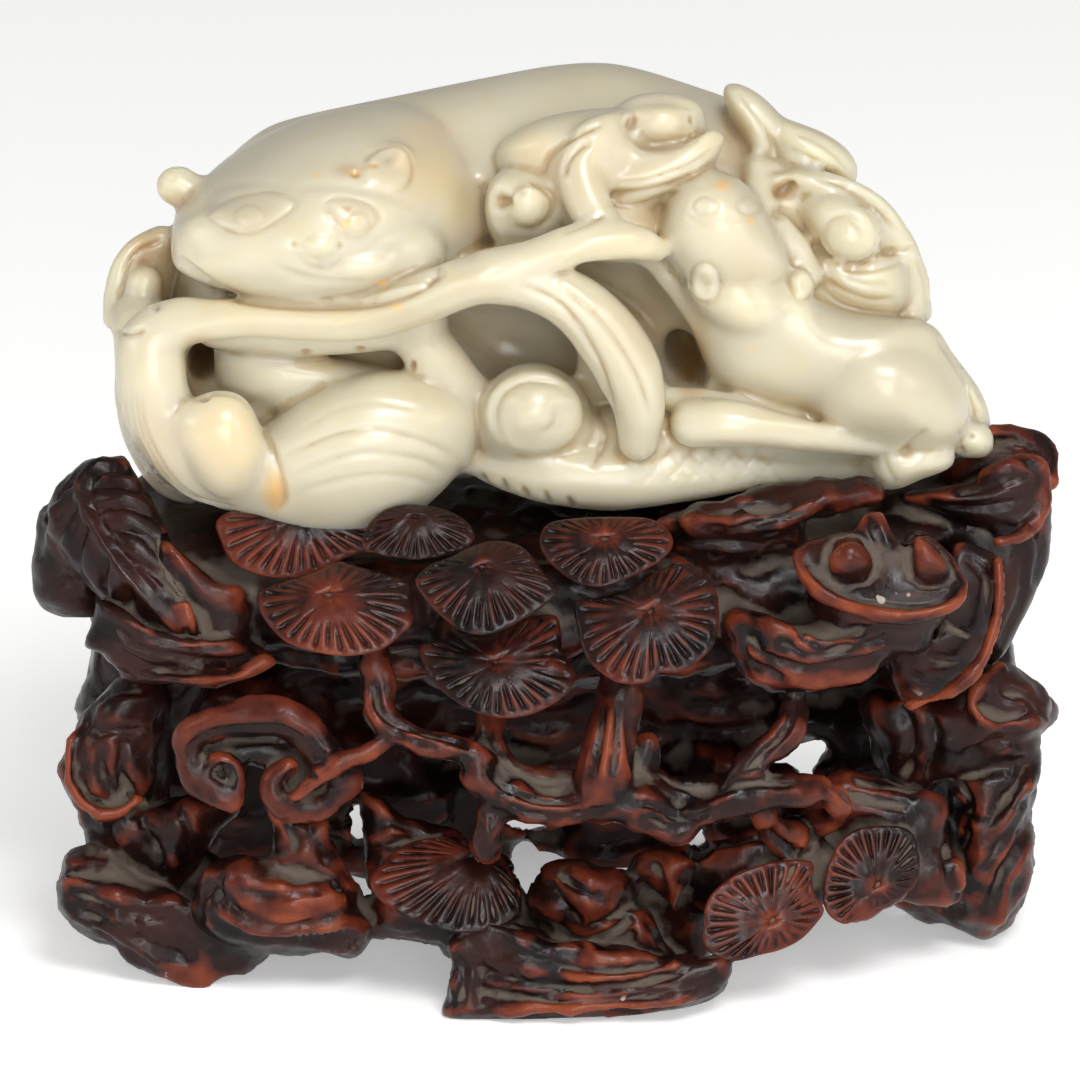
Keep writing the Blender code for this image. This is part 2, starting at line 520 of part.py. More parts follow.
def needle_discs():
    """Discs of pine needles: seven on the upper tier, three below."""
    disc([(-31.8, 50.3), (-31.8, 47.3), (-30.2, 45.2), (-26.5, 44), (-22.5, 44.5), (-19.5, 46),
        (-16, 47.3), (-16, 49.8), (-24, 51.8)], (-24, 50.3), -21, down=6)
    disc([(-17.8, 47), (-16.8, 49.8), (-14, 51.3), (-10, 51), (-7.5, 49.8), (-6.5, 48.2), (-7.2, 47),
        (-9.5, 46.2), (-12.5, 45.8), (-15.5, 46.2)], (-12.5, 50.3), -20, down=7)
    disc([(-28.2, 41.8), (-27.8, 42.8), (-25, 43.8), (-22.5, 44.6), (-20.2, 45.6), (-18.8, 45.3),
        (-14, 44), (-12.9, 43), (-12.7, 39.8), (-14, 38.2), (-16, 36.8), (-19, 36.2), (-22, 36.5),
        (-25, 37.4), (-26.6, 38.7), (-27.8, 40.3)], (-21.2, 42.4), -26, down=8)
    disc([(-12.5, 43.8), (-11, 45.3), (-9, 46.1), (-7, 47.1), (-4.8, 47.7), (-2.4, 47.4), (-0.8, 46.2),
        (0.6, 44.3), (1.8, 42.8), (0.5, 41.3), (-2, 39.7), (-4, 38.7), (-6, 38.3), (-8, 38.8),
        (-10, 40.3), (-11.6, 42)], (-5.8, 45.2), -27, down=8)
    disc([(-12, 37.2), (-10, 37.8), (-6, 38.4), (-3, 39.3), (-0.5, 40.2), (1.6, 40.2), (2.1, 38.6),
        (2.3, 36.6), (3.6, 34.5), (3, 32.8), (1, 31.2), (-1.5, 30.2), (-4, 30), (-6.5, 30.6), (-9, 32),
        (-10.8, 33.8), (-11.8, 35.6)], (-4.4, 35.6), -29, down=7)
    disc([(0, 48.2), (1, 49.5), (4, 50), (8, 50.1), (11, 49.9), (12.8, 48.8), (13.3, 47.3), (12.2, 45.8),
        (10.5, 44.8), (8.5, 43.8), (6, 43.1), (3.5, 43.6), (1.5, 45), (0.2, 46.6)], (6.5, 48),
        -25, down=8)
    disc([(3.5, 41.6), (6, 42), (9, 43), (12, 44.8), (14, 45.5), (16, 44.8), (17.4, 43.3), (17.9, 40.8),
        (17.6, 37.8), (16, 35.8), (14, 34.6), (12, 34.5), (10.5, 33.5), (8, 33.5), (6, 34.6),
        (4.5, 36.3), (3.8, 38.8)], (11, 40.7), -30, down=7)
    # lower ones
    disc([(-17, 13.8), (-15.5, 15.8), (-13.5, 17.3), (-11, 18), (-8.5, 17.7), (-6, 16.6), (-3.8, 15.2),
        (-2.5, 13.3), (-2, 11.3), (-2.8, 9.8), (-5, 8.8), (-8, 8.5), (-11, 9.1), (-14, 10.4),
        (-16.2, 12)], (-8.4, 16.8), -24, down=8, right=-1)
    disc([(16.3, 9.3), (16.6, 11.3), (17.5, 12.8), (19.5, 14.3), (22, 15.3), (24.5, 15.8), (27.2, 15.6),
        (27.2, 13.8), (27.5, 12.3), (28.4, 10.8), (27.5, 9.3), (26, 7.8), (24, 6.8), (22, 6.3),
        (19.5, 5.7), (17.5, 6.2), (16.3, 7.5)], (23.3, 9.7),
        -27, down=3.5, right=-2, dome=0.8, thick=4)
    disc([(28.3, 12.3), (28.7, 14.8), (29.8, 17.3), (31.5, 18.8), (34, 19.2), (36.5, 19), (37.6, 17.8),
        (38, 15.3), (37.5, 13.3), (36, 12), (34, 11), (32, 10), (30.5, 9.4), (29.2, 10), (28.5, 11)],
        (33.8, 13.3), -22, down=2.5, right=-2, dome=0.8, thick=4)


def left_leaves():
    """Broad leaves that wrap the upper left corner."""
    lobe([(-49.2, 51.3), (-50.2, 48.8), (-50.8, 45.8), (-50.7, 43.3), (-50, 41.3), (-48.5, 40.3),
        (-46, 40.1), (-43.5, 40.6), (-43, 44.8), (-46, 49.8)], -9, 4, 6)
    lobe([(-41.2, 55.9), (-43, 56.1), (-45.5, 55.5), (-47.8, 53.8), (-49, 51.8), (-49.3, 49.8),
        (-48.5, 47.3), (-46.5, 44.6), (-44, 42), (-41, 39.8), (-38, 38.5), (-35, 37.6), (-32.8, 37.5),
        (-33.8, 39.8), (-35, 42.8), (-36.3, 45.8), (-37.7, 49.6), (-39.4, 53)],
        -14, 4.5, 7, lean=(-2, -3))
    lobe([(-44, 41.8), (-45, 39.3), (-45.7, 37), (-44, 36.5), (-42.5, 35.2), (-39.5, 34.4), (-36, 34.1),
        (-32.5, 33.9), (-29.8, 34.4), (-27, 35.8), (-29, 37.8), (-32.5, 37.8), (-36, 38.2), (-39, 39),
        (-42, 41.2)], -19, 4, 7)
    lobe([(-37.5, 47.8), (-35, 45.8), (-32.5, 43.8), (-29.3, 42.8), (-29, 37.8), (-30, 35.8),
        (-32.5, 36.3), (-34.5, 39.8), (-36.5, 43.8)], -18, 2.5, 7, full=0.6)
    strand([(-41.2, 34.6, -19, 0.8), (-36, 34.1, -22, 1.0), (-31.5, 34, -24, 1.0),
        (-27.2, 35.6, -24, 0.5)])


def right_rocks():
    """Ledges of rock at the upper right, with the dished fungus cap."""
    lobe([(11.5, 49.8), (16, 51.5), (22, 52.8), (28, 53.6), (33.2, 53.6), (34.5, 51.8), (30, 50.6),
        (26.6, 49.8), (26.2, 47), (23, 45.8), (18, 45.2), (15, 45.6), (12.5, 47.3)],
        -17, 4, 8, full=0.7)
    strand([(15, 49.8, -20, 1.0), (20, 49.6, -21.5, 1.2), (25, 50.3, -21.5, 1.0), (29, 51.8, -20, 1.0)])
    lobe([(14, 45.8), (18, 46.3), (22, 44.8), (25, 41.8), (28, 39.3), (24, 37.8), (19.5, 39.8),
        (17.5, 42.8)], -16, 3, 8)
    lobe([(18.5, 40.6), (20.5, 41), (23.5, 40), (26, 39.4), (32, 39.6), (35, 40), (39, 39),
        (38.8, 36.8), (35.5, 36.1), (33, 34.7), (30, 33.5), (26, 32.8), (22.5, 33), (20, 34.7),
        (18.8, 37.3)], -22, 4.5, 8, full=0.7)
    # dished cap with two knobs
    lobe([(25.6, 46), (26.5, 47.8), (29, 48.5), (31.2, 48.7), (32.4, 50.4), (34.2, 50.5), (35.2, 48.8),
        (36.5, 47), (38.5, 48.3), (40.5, 47), (41.7, 45.5), (42.3, 43.3), (41.5, 41.3), (39, 40.5),
        (36, 40.3), (33, 40.7), (30, 41.7), (27.5, 43.1), (26, 44.5)],
        -26, 1.2, 3.5, full=0.4, lean=(0, -5))
    strand([(25.8, 46.2, -25.5, 0.7), (26.6, 44.2, -27, 0.9), (30, 41.9, -28.5, 1.0),
        (34, 40.7, -29.5, 1.0), (38.5, 40.6, -29.5, 0.9), (41.7, 41.8, -28.5, 0.8),
        (42.2, 43.5, -27, 0.7)])
    lobe([(28.3, 45.8), (29, 47.3), (30.5, 48.1), (32.2, 47.8), (33.4, 46.3), (33.6, 44.6),
        (32.2, 43.6), (30, 43.8), (28.8, 44.6)], -26.5, 2.8, 3)
    lobe([(37, 47.3), (37.8, 48.3), (39, 47.8), (40.5, 46.4), (41.3, 45), (40.7, 43.8), (39, 43.4),
        (37.4, 43.6), (37, 45.3)], -26.5, 2.4, 3)
    ball(34, 41.8, -20, 7, 7, 4)


def right_leaves():
    """Curled leaves that wrap the upper right corner."""
    lobe([(43.5, 57.8), (45.5, 58.7), (49.5, 58.5), (51, 57.2), (51.4, 55.3), (50.6, 51.8), (47, 51.8),
        (42, 51.8), (39, 53.3), (41, 55.6)], 0, 3, 8)
    strand([(44.5, 58.2, -2, 0.9), (47, 58.4, -1, 1.0), (49.6, 58, 0, 1.0), (50.9, 56.5, 0, 1.0),
        (51, 53.8, -2, 1.0)])
    lobe([(36, 52.2), (39, 52.8), (44.5, 54), (47, 55.5), (49, 55.8), (50.4, 54), (50.6, 51.8),
        (49.8, 49.3), (48, 47.9), (45.8, 47.5), (42, 49), (38.5, 50.4)], -8, 2.5, 8)
    strand([(44.5, 54.1, -9, 0.8), (47.2, 55.4, -9, 0.9), (49.4, 55.4, -8, 0.9), (50.3, 53.3, -8, 0.9),
        (49.8, 50, -9.5, 0.8), (47.8, 48.1, -11, 0.7), (45.8, 47.6, -12, 0.6)])
    lobe([(40, 51.8), (46, 51.3), (50.8, 51.8), (51.2, 48.8), (50.5, 44.8), (49, 41.3), (47.2, 37.8),
        (45.5, 35.8), (42, 35.8), (40, 41.8)], -6, 4, 9)
    lobe([(41.5, 47.5), (44.5, 46.9), (46, 45.6), (45.8, 41.8), (44.8, 37.3), (43, 34.3), (40, 32.2),
        (37.2, 31.2), (36, 32.1), (35, 34.6), (34.8, 36.3), (38.5, 37), (39.5, 38.8), (40.5, 42.8)],
        -16, 3, 8)
    strand([(45.8, 45.8, -18, 0.8), (45.7, 41.8, -19.5, 0.8), (44.6, 37, -20.5, 0.8),
        (42.7, 34, -21, 0.8), (39.8, 32.1, -21, 0.9), (37, 31.4, -20.5, 0.8)])


def branches():
    """Pine trunk and branches across the open middle."""
    strand([(-16.8, 37.3, -25, 1.8), (-16.3, 32.8, -27, 1.6), (-16.2, 30.6, -28, 1.6),
        (-13.8, 28.5, -29, 1.3), (-10.8, 27.5, -29, 1.4), (-7, 26.6, -29, 1.6), (-5.6, 24, -29, 1.9),
        (-3.5, 22.1, -29, 2.0), (0, 21, -29, 1.8), (3.5, 21, -29, 1.9), (7, 21.8, -29, 2.2),
        (11, 20.6, -28.5, 2.3), (13.2, 19.4, -28, 2.0), (16.2, 20.6, -28, 1.8), (20, 22.3, -27.5, 2.0),
        (24.5, 22.9, -27, 1.6), (28.2, 23.2, -25, 1.2)])
    strand([(8.2, 33.8, -25, 2.4), (7.2, 28.8, -27, 2.6), (6.6, 24.8, -28.5, 3.0),
        (6.2, 22.2, -28.5, 2.8)])
    strand([(-5, 30.3, -25, 1.4), (-5, 27.3, -26.5, 1.8), (-3, 24.3, -27, 2.0), (0.5, 22.8, -27, 2.0),
        (4, 22.8, -27.5, 2.0)])
    strand([(10.5, 27.3, -25, 1.2), (11, 23.3, -26, 2.0), (15, 22.3, -26, 2.0), (19, 22.8, -26, 1.8)])
    strand([(25.7, 32.1, -23, 1.0), (24.7, 28.8, -25.5, 1.7), (22.2, 26.6, -27, 1.6),
        (20.5, 24.3, -27.5, 1.7), (18.5, 21.8, -27.5, 1.8)])
    strand([(-4.3, 21.8, -28.5, 1.4), (-5.3, 19, -29, 1.6), (-5.5, 16.8, -28.5, 1.6)])
    strand([(28.2, 23.2, -25, 1.0), (29.8, 21.8, -24, 1.2), (29.8, 20.3, -22, 1.2),
        (27.5, 19.2, -20, 1.4)])
    strand([(21.7, 21.8, -26, 1.0), (22.8, 19.3, -24, 1.2), (25, 17.8, -22, 2.0)])
    strand([(-24.4, 22.2, -29, 0.7), (-21, 25, -30, 1.1), (-17.2, 26.8, -29.5, 0.9),
        (-14.5, 28, -28.5, 0.7)])


def fungus_scroll():
    """Scrolled fungus head at the middle left, on its stem."""
    strand([(-30.8, 22, -27, 1.2), (-32.8, 22.8, -27, 1.5), (-34.7, 24.8, -26.5, 1.5),
        (-35.2, 27.6, -26.5, 1.6), (-33.2, 29.4, -27, 1.8), (-29, 30, -27.5, 2.0),
        (-25, 29.8, -28, 2.0), (-22.6, 27.8, -28, 1.9), (-20.8, 25.6, -28, 1.8),
        (-19.5, 23.8, -27, 1.6), (-20.8, 22.2, -27, 1.5), (-24, 21.2, -27, 1.5),
        (-26.2, 22.1, -27.5, 1.5), (-26.7, 23.8, -27.5, 1.3), (-25.2, 25, -27.5, 1.1)])
    lobe([(-34.8, 25.3), (-33.5, 27.6), (-31, 29), (-26, 29.2), (-23, 27.3), (-21, 24.3), (-23, 21.8),
        (-26, 21.8), (-26.5, 24.3), (-30, 25.3), (-30.3, 22.8), (-32.5, 22.3)],
        -24, 2.2, 4, middle=(-28.5, 26.3))
    strand([(-33.4, 24.6, -26.5, 0.8), (-32.4, 25.8, -27, 0.9), (-30.9, 25.2, -27, 1.0),
        (-30.4, 23.4, -27, 1.0), (-31.2, 22, -27, 1.0)])
    lobe([(-27.4, 21.8), (-24, 20.6), (-21.2, 20), (-20.6, 16.8), (-18.8, 14.2), (-17.8, 12.6),
        (-20, 11), (-24, 11.6), (-28.5, 12.2), (-31.5, 13.8), (-30, 15.6), (-26.8, 16.2),
        (-26.6, 18.8)], -21, 3, 7)


def left_rocks():
    """Rocks down the left side, the left foot and the shelf rock."""
    lobe([(-39, 34.6), (-41, 34.6), (-43, 33), (-45, 30.8), (-47, 27.8), (-48, 25), (-47.8, 23.3),
        (-46.5, 21.3), (-45.2, 20), (-42.8, 20.3), (-40.3, 21.3), (-39, 21.8), (-38.2, 25.8),
        (-37.5, 31.8)], -13, 5, 9)
    strand([(-45.2, 29.6, -15, 0.9), (-46.8, 26.6, -17, 1.0), (-46.2, 22.3, -18, 1.0),
        (-44, 20.6, -18, 1.0), (-40.4, 21.8, -18, 0.9)])
    lobe([(-45.6, 21), (-45.6, 19.3), (-44.8, 17), (-42.5, 16), (-40, 14.2), (-36.8, 13), (-34.8, 14.6),
        (-32.8, 17.6), (-30.2, 20.6), (-30.4, 22), (-34, 22.2), (-38, 21.6), (-42, 21.2)], -13, 5, 9)
    lobe([(-47.8, 14.6), (-47.4, 16.1), (-45.8, 16.8), (-43.4, 16.8), (-41.8, 15.4), (-39.2, 13.8),
        (-36.6, 13), (-37.4, 11.6), (-39.5, 10.2), (-43, 11.4), (-46, 12.5), (-47.8, 13.4)],
        -13, 4, 8, full=0.6)
    lobe([(-48, 13.8), (-47.8, 10.8), (-46, 8.8), (-43, 7.3), (-40, 5.2), (-36.5, 3.7), (-33.5, 3.2),
        (-31.4, 4.2), (-28, 5.6), (-26.8, 6.4), (-30, 7.8), (-34, 10.8), (-37, 12.6), (-42, 13.3),
        (-46, 14)], -18.6, 2.0, 13, full=0.6)
    lobe([(-34.4, 13.4), (-33.5, 15), (-31.5, 15.8), (-28, 16.1), (-24, 14.6), (-19, 13.8),
        (-17.9, 12.6), (-17.7, 10.3), (-16.9, 9.2), (-17.2, 7.7), (-19, 6.5), (-24, 6.4), (-28, 6.7),
        (-31.5, 7.7), (-33.6, 9), (-34.6, 11.3)], -20, 6.5, 7, full=0.7)
    lobe([(-39, 14.8), (-34, 16.8), (-30, 14.8), (-24, 11.8), (-28, 6.8), (-34, 7.8), (-38, 10.8)],
        -10, 3, 8)


def front_foot():
    """Front foot with the shell-like rock on it."""
    lobe([(-17.4, 11.8), (-17, 8.5), (-14, 8.1), (-10, 7.3), (-8.8, 6.1), (-6, 5.3), (-4, 8.3),
        (-7, 10.3), (-11, 11.8), (-14.5, 12.3)], -19, 3, 7, full=0.7)
    lobe([(-18, 22.8), (-16.2, 21.8), (-13.8, 20.3), (-11, 19.2), (-7.5, 18), (-7, 16.8), (-10, 14.8),
        (-14, 13.8), (-17.2, 12.8), (-17.6, 16.8)], -19, 3, 7)
    lobe([(-9, 7.3), (-8.8, 4.6), (-9.4, 2.3), (-9.9, 0.8), (-9.3, 0), (-6, -0.2), (0, -0.1), (6, 0.1),
        (11, 0.5), (15, 1.2), (17.5, 2.2), (18.8, 3.8), (18.9, 5.3), (17.6, 6), (15, 5.6), (11, 6.3),
        (6, 7.3), (1, 7.8), (-3, 9.3), (-6, 9.3)], -28.6, 2.5, 15, full=0.6)
    lobe([(-0.8, 13.3), (0, 15.2), (2, 16), (5, 15.6), (7.8, 14.8), (10, 13.8), (9.2, 11.3), (8.6, 10),
        (9, 8), (7.5, 6.6), (4.5, 6.5), (2.2, 7.4), (0.3, 8.1), (-0.9, 10.3)], -19, 5, 7)
    lobe([(9, 13.8), (10, 15.6), (11.5, 16.8), (14.2, 17.3), (16.1, 16.6), (15.6, 14.6), (14.4, 12.6),
        (13.3, 10.4), (12.2, 12.6), (10.5, 13.2)], -19, 3, 7)
    lobe([(7.5, 11.3), (11, 10.6), (12.6, 7.3), (14.4, 4.8), (10, 4), (5, 5), (6, 8.8)], -20, 3, 8)
    strand([(-4, 1.2, -30, 1.0), (2, 1.5, -31, 1.2), (8, 1.8, -31, 1.2), (14, 2.8, -30.5, 1.0),
        (17.6, 4.3, -29, 0.8)])
    strand([(-3.5, 7.3, -26, 1.0), (0, 5.6, -29, 1.3), (6, 4.3, -30.5, 1.3), (11, 4, -30, 1.2),
        (15, 5.2, -29, 1.0)])


def right_pillar():
    """Rock pillar at the right, on the right foot."""
    lobe([(34.5, 32.8), (38, 31.8), (42, 32.8), (46, 35.4), (49, 33.8), (51, 31.8), (51.3, 30.2),
        (50.1, 28.3), (49.6, 25.3), (46, 24.3), (41, 23.8), (36.5, 22.3), (34.5, 24.3), (33, 28.3),
        (32.6, 31.8)], -5, 7, 13, full=0.7)
    lobe([(41.5, 24.8), (46, 27.3), (49.7, 26.8), (49.4, 21.8), (49.1, 15.8), (48.5, 12.2), (46.8, 9.6),
        (45, 7.9), (43.6, 8.1), (42.2, 9.5), (40.5, 11.6), (40.2, 13.8), (40.8, 17.8), (41, 21.8)],
        -4.4, 7.5, 12, full=0.7)
    lobe([(35.3, 11.5), (36.5, 12.8), (40.5, 13.8), (43, 9.3), (40.5, 9.9), (37.5, 10.2)], -5, 3, 8)
    lobe([(26, 20.6), (28, 23.3), (31, 24.8), (35, 23.3), (39.5, 22.3), (41, 18.8), (40.2, 14.8),
        (37.5, 14.8), (33, 16.8), (29, 16.8), (26, 17.8)], -14, 3, 12)
    lobe([(15, 16.8), (18, 17.8), (22, 19.3), (26, 19.8), (29, 17.8), (31, 14.8), (29, 11.8),
        (22, 10.8), (17, 9.8), (14.5, 12.8)], -19, 3, 8)
    lobe([(28, 15.8), (32, 17.8), (37, 17.8), (42, 15.8), (42, 11.8), (36, 11.8), (32, 12.3),
        (29, 11.8)], -15, 3, 10)
    strand([(46, 35, -9, 0.8), (43.5, 31.8, -12, 0.8), (44.5, 29.8, -12, 0.8), (49, 30, -10, 0.8),
        (50.4, 29.6, -8, 0.8)])


def back_wall():
    """Lower back wall with the two back feet."""
    rock(-16.5, 21.8, 21, 10, 6, 12, rough=0.11, seed=51)
    rock(-8, 21.8, 24, 8, 5, 9, rough=0.11, seed=55)
    rock(6, 22.8, 27, 10, 5, 9, rough=0.11, seed=56)
    rock(7, 17.3, 24, 6, 5, 7, rough=0.11, seed=59)
    rock(19.5, 20.3, 23, 7, 6, 10, rough=0.11, seed=52)
    rock(34, 22.8, 21, 7, 6, 13, rough=0.11, seed=57)
    rock(-30, 24.8, 18, 10, 6, 13, rough=0.11, seed=58)
    rock(-41, 29.8, 4, 5, 9, 14, rough=0.11, seed=53)
    rock(43, 29.8, 8, 5, 10, 14, rough=0.11, seed=54)
    ball(27.2, 30.6, 23, 4.5, 5, 4.5)
    # dark web behind the centre rock
    lobe([(9, 15.8), (15, 16.8), (18, 14.8), (17.5, 8.8), (16, 5.3), (12, 4.3), (10, 7.8)], -14, 3, 8)
    lobe([(-6, 15.8), (-4, 16.8), (-2, 13.8), (0, 7.8), (-2, 6.3), (-5, 8.3)], -16, 3, 8)


def see_through():
    """Openings right through the lower back wall."""
    lobe([(21.7, 25.5), (22.5, 26.6), (24.5, 27.1), (27.8, 27.4), (28.6, 26.8), (28.2, 24.8),
        (27.2, 24), (24, 24.8)], 26, 14, 14)
    ball(-18.6, 19, 0, 1.0, 70, 2.0, (-16, 0, 0))
    ball(-1.2, 18.9, 0, 2.8, 70, 0.9, (-16, 0, 0))
    ball(-1.5, 15.4, 0, 1.5, 70, 1.6, (-16, 0, 0))
    ball(15.8, 17.8, 0, 1.4, 70, 1.6, (-16, 0, 0))


def closed_up(piece):
    """Merges corners that a cut left closer than a hair's breadth, and fills what is left open."""
    build = bmesh.new()
    build.from_mesh(piece.data)
    bmesh.ops.remove_doubles(build, verts=build.verts, dist=HAIR)
    bmesh.ops.holes_fill(build, edges=[edge for edge in build.edges if edge.is_boundary], sides=0)
    bmesh.ops.triangulate(build, faces=[face for face in build.faces if len(face.verts) > 3])
    build.to_mesh(piece.data)
    build.free()


def make_jade():
    """The jade in steps: body with its hollows, then the forms in front of them."""
    mass = joined("jade_body", [jade_body])
    one_skin(mass, SKIN_STEP, 0)
    hollows = joined("jade_hollows", [jade_hollows])
    one_skin(hollows, SKIN_STEP, 0)
    cut_away(mass, hollows)
    front = joined("jade_front", [big_head, limb_and_branch, bulb_and_bud, lower_body, pup, tail,
                                  fungus_head, left_edge, far_side])
    for piece in bpy.data.objects:
        piece.select_set(piece in (mass, front))
    bpy.context.view_layer.objects.active = mass
    bpy.ops.object.join()
    jade = bpy.context.object
    jade.name = "jade_lion_dogs"
    one_skin(jade, SKIN_STEP, SKIN_SOFTENING)
    keep_largest(jade)
    return jade


def seat_cutter(jade):
    """The jade swollen by the gap, for cutting its seat into the stand."""
    cutter = new_object("seat_cutter", jade.data.copy())
    cutter.location = jade.location
    modified(cutter, "DISPLACE", strength=SEAT_GAP, mid_level=0)
    one_skin(cutter, SKIN_STEP * jade_step, 0)
    keep_largest(cutter)
    thinned(cutter, SEAT_TRIANGLES)
    return cutter


def make_stand(cutter):
    """The stand: its forms under one skin, the seat for the jade, the openings and level feet."""
    stand = joined("wood_stand", [seat_and_backing, needle_discs, left_leaves, right_rocks,
                                  right_leaves, branches, fungus_scroll, left_rocks, front_foot,
                                  right_pillar, back_wall])
    one_skin(stand, SKIN_STEP, 1)
    sized(stand, stand_step)
    cut_away(stand, cutter)
    openings = joined("see_through", [see_through])
    sized(openings, stand_step)
    cut_away(stand, openings)
    keep_largest(stand)
    thinned(stand, STAND_TRIANGLES)
    bpy.ops.mesh.primitive_cube_add(size=GROUND_BOX, location=(0, 0, -GROUND_BOX / 2))
    cut_away(stand, bpy.context.object)
    keep_largest(stand)
    closed_up(stand)
    return stand


def finish(piece, colour, roughness):
    """Material and smooth shading, with the cut edges kept sharp."""
    material = bpy.data.materials.new(piece.name)
    material.use_nodes = True
    surface = material.node_tree.nodes["Principled BSDF"]
    surface.inputs["Base Color"].default_value = (*colour, 1)
    surface.inputs["Roughness"].default_value = roughness
    surface.inputs["Metallic"].default_value = 0
    piece.data.materials.clear()
    piece.data.materials.append(material)
    piece.data.shade_smooth()
    piece.data.set_sharp_from_angle(angle=math.radians(60))


def middle_shift(pieces):
    """Move that puts the origin under the middle of the pieces' common box."""
    points = [piece.matrix_world @ vert.co for piece in pieces for vert in piece.data.vertices]
    low = [min(point[axis] for point in points) for axis in range(3)]
    high = [max(point[axis] for point in points) for axis in range(3)]
    return Vector((-(low[0] + high[0]) / 2, -(low[1] + high[1]) / 2, -low[2]))


for old in list(bpy.data.objects):
    bpy.data.objects.remove(old)

jade_step = JADE_LENGTH / JADE_STEPS
stand_step = STAND_WIDTH / STAND_STEPS

jade = make_jade()
sized(jade, jade_step, SEAT_LEVEL)
jade.location.z = SEAT_LEVEL * stand_step
stand = make_stand(seat_cutter(jade))
thinned(jade, JADE_TRIANGLES)

finish(jade, (0.66, 0.61, 0.48), 0.22)
finish(stand, (0.09, 0.03, 0.02), 0.35)

bpy.context.view_layer.update()
shift = middle_shift([jade, stand])
jade.location += shift
stand.location += shift
bpy.context.view_layer.update()
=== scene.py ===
import json
import math

import bmesh
import bpy
import numpy as np
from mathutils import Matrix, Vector, noise
from mathutils.bvhtree import BVHTree

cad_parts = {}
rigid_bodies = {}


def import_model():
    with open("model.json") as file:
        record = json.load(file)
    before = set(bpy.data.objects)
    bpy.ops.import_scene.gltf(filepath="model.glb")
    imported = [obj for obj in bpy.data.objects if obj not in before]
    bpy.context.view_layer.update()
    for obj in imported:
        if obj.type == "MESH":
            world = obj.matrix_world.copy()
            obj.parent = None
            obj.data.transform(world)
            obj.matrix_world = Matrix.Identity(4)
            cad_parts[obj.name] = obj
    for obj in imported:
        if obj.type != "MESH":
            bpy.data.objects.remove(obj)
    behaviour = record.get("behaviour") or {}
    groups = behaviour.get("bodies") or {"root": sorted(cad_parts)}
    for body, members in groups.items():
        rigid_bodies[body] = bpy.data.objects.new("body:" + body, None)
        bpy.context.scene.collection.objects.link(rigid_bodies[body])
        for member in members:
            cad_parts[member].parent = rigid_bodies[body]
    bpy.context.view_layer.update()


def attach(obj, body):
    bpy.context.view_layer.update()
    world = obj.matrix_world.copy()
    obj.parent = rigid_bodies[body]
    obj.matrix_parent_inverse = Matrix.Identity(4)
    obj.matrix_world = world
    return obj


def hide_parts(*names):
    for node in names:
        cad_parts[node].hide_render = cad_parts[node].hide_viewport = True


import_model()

# The jade. One pebble of pale, cloudy stone, ground and drilled with abrasive into a lion-dog and its
# pup under a branch of fungus, then polished to a soft shine. It lies loose in the stand's seat.
# A point is laid out as the front shows it, in millimetres: how far across and up it is seen, and how
# far back it lies. The eye looks down at the point seen at SIGHT_UP, SIGHT_HEIGHT above the table.
MM = 0.001
SIGHT_DEGREES = 16.0
SIGHT_TILT = math.radians(SIGHT_DEGREES)
SIGHT_UP = 47.8
SIGHT_HEIGHT = 40.6
EYE_DISTANCE = 1000.0
LOOK_SIN = math.sin(SIGHT_TILT)
LOOK_COS = math.cos(SIGHT_TILT)
# Where the zero of this layout lies on the table, in metres.
MIDDLE = Vector((-0.000698, 0.001245, 0.0))


def seen(across, up, back):
    """Point that the viewer sees at across and up, at the depth back."""
    rise = up - SIGHT_UP
    height = rise + rise * back * LOOK_COS / EYE_DISTANCE - back * LOOK_SIN
    height /= LOOK_COS + rise * LOOK_SIN / EYE_DISTANCE
    depth = back * LOOK_COS - height * LOOK_SIN
    return Vector((across * (1 + depth / EYE_DISTANCE), back, SIGHT_HEIGHT + height))


def behind(across, height, back):
    """The three numbers for a point on the far side that is given by its height."""
    height -= SIGHT_HEIGHT
    depth = 1 + (back * LOOK_COS - height * LOOK_SIN) / EYE_DISTANCE
    return across / depth, SIGHT_UP + (height * LOOK_COS + back * LOOK_SIN) / depth, back


def new_object(name, data):
    """Puts new data into the scene as an object of this name."""
    piece = bpy.data.objects.new(name, data)
    bpy.context.collection.objects.link(piece)
    return piece


def ball(across, up, back, wide, deep, high, turn=(0, 0, 0)):
    """Egg with three half sizes; turn is in degrees, about Y clockwise as seen."""
    bpy.ops.mesh.primitive_uv_sphere_add(
        segments=32, ring_count=20, radius=1, location=seen(across, up, back),
        rotation=[math.radians(angle) for angle in turn], scale=(wide, deep, high))


def strand(points, deep=1.0):
    """Round branch with round ends through points of (across, up, back, half thickness)."""
    curve = bpy.data.curves.new("strand", "CURVE")
    curve.dimensions = "3D"
    curve.bevel_depth = 1
    curve.bevel_resolution = 3
    curve.resolution_u = 8
    curve.use_fill_caps = True
    spline = curve.splines.new("BEZIER")
    spline.bezier_points.add(len(points) - 1)
    for knot, (across, up, back, half) in zip(spline.bezier_points, points):
        place = seen(across, up, back)
        knot.co = (place.x, place.y / deep, place.z)
        knot.radius = half
        knot.handle_left_type = "AUTO"
        knot.handle_right_type = "AUTO"
    new_object("strand", curve).scale = (1, deep, 1)
    for across, up, back, half in (points[0], points[-1]):
        ball(across, up, back, half, half * deep, half)


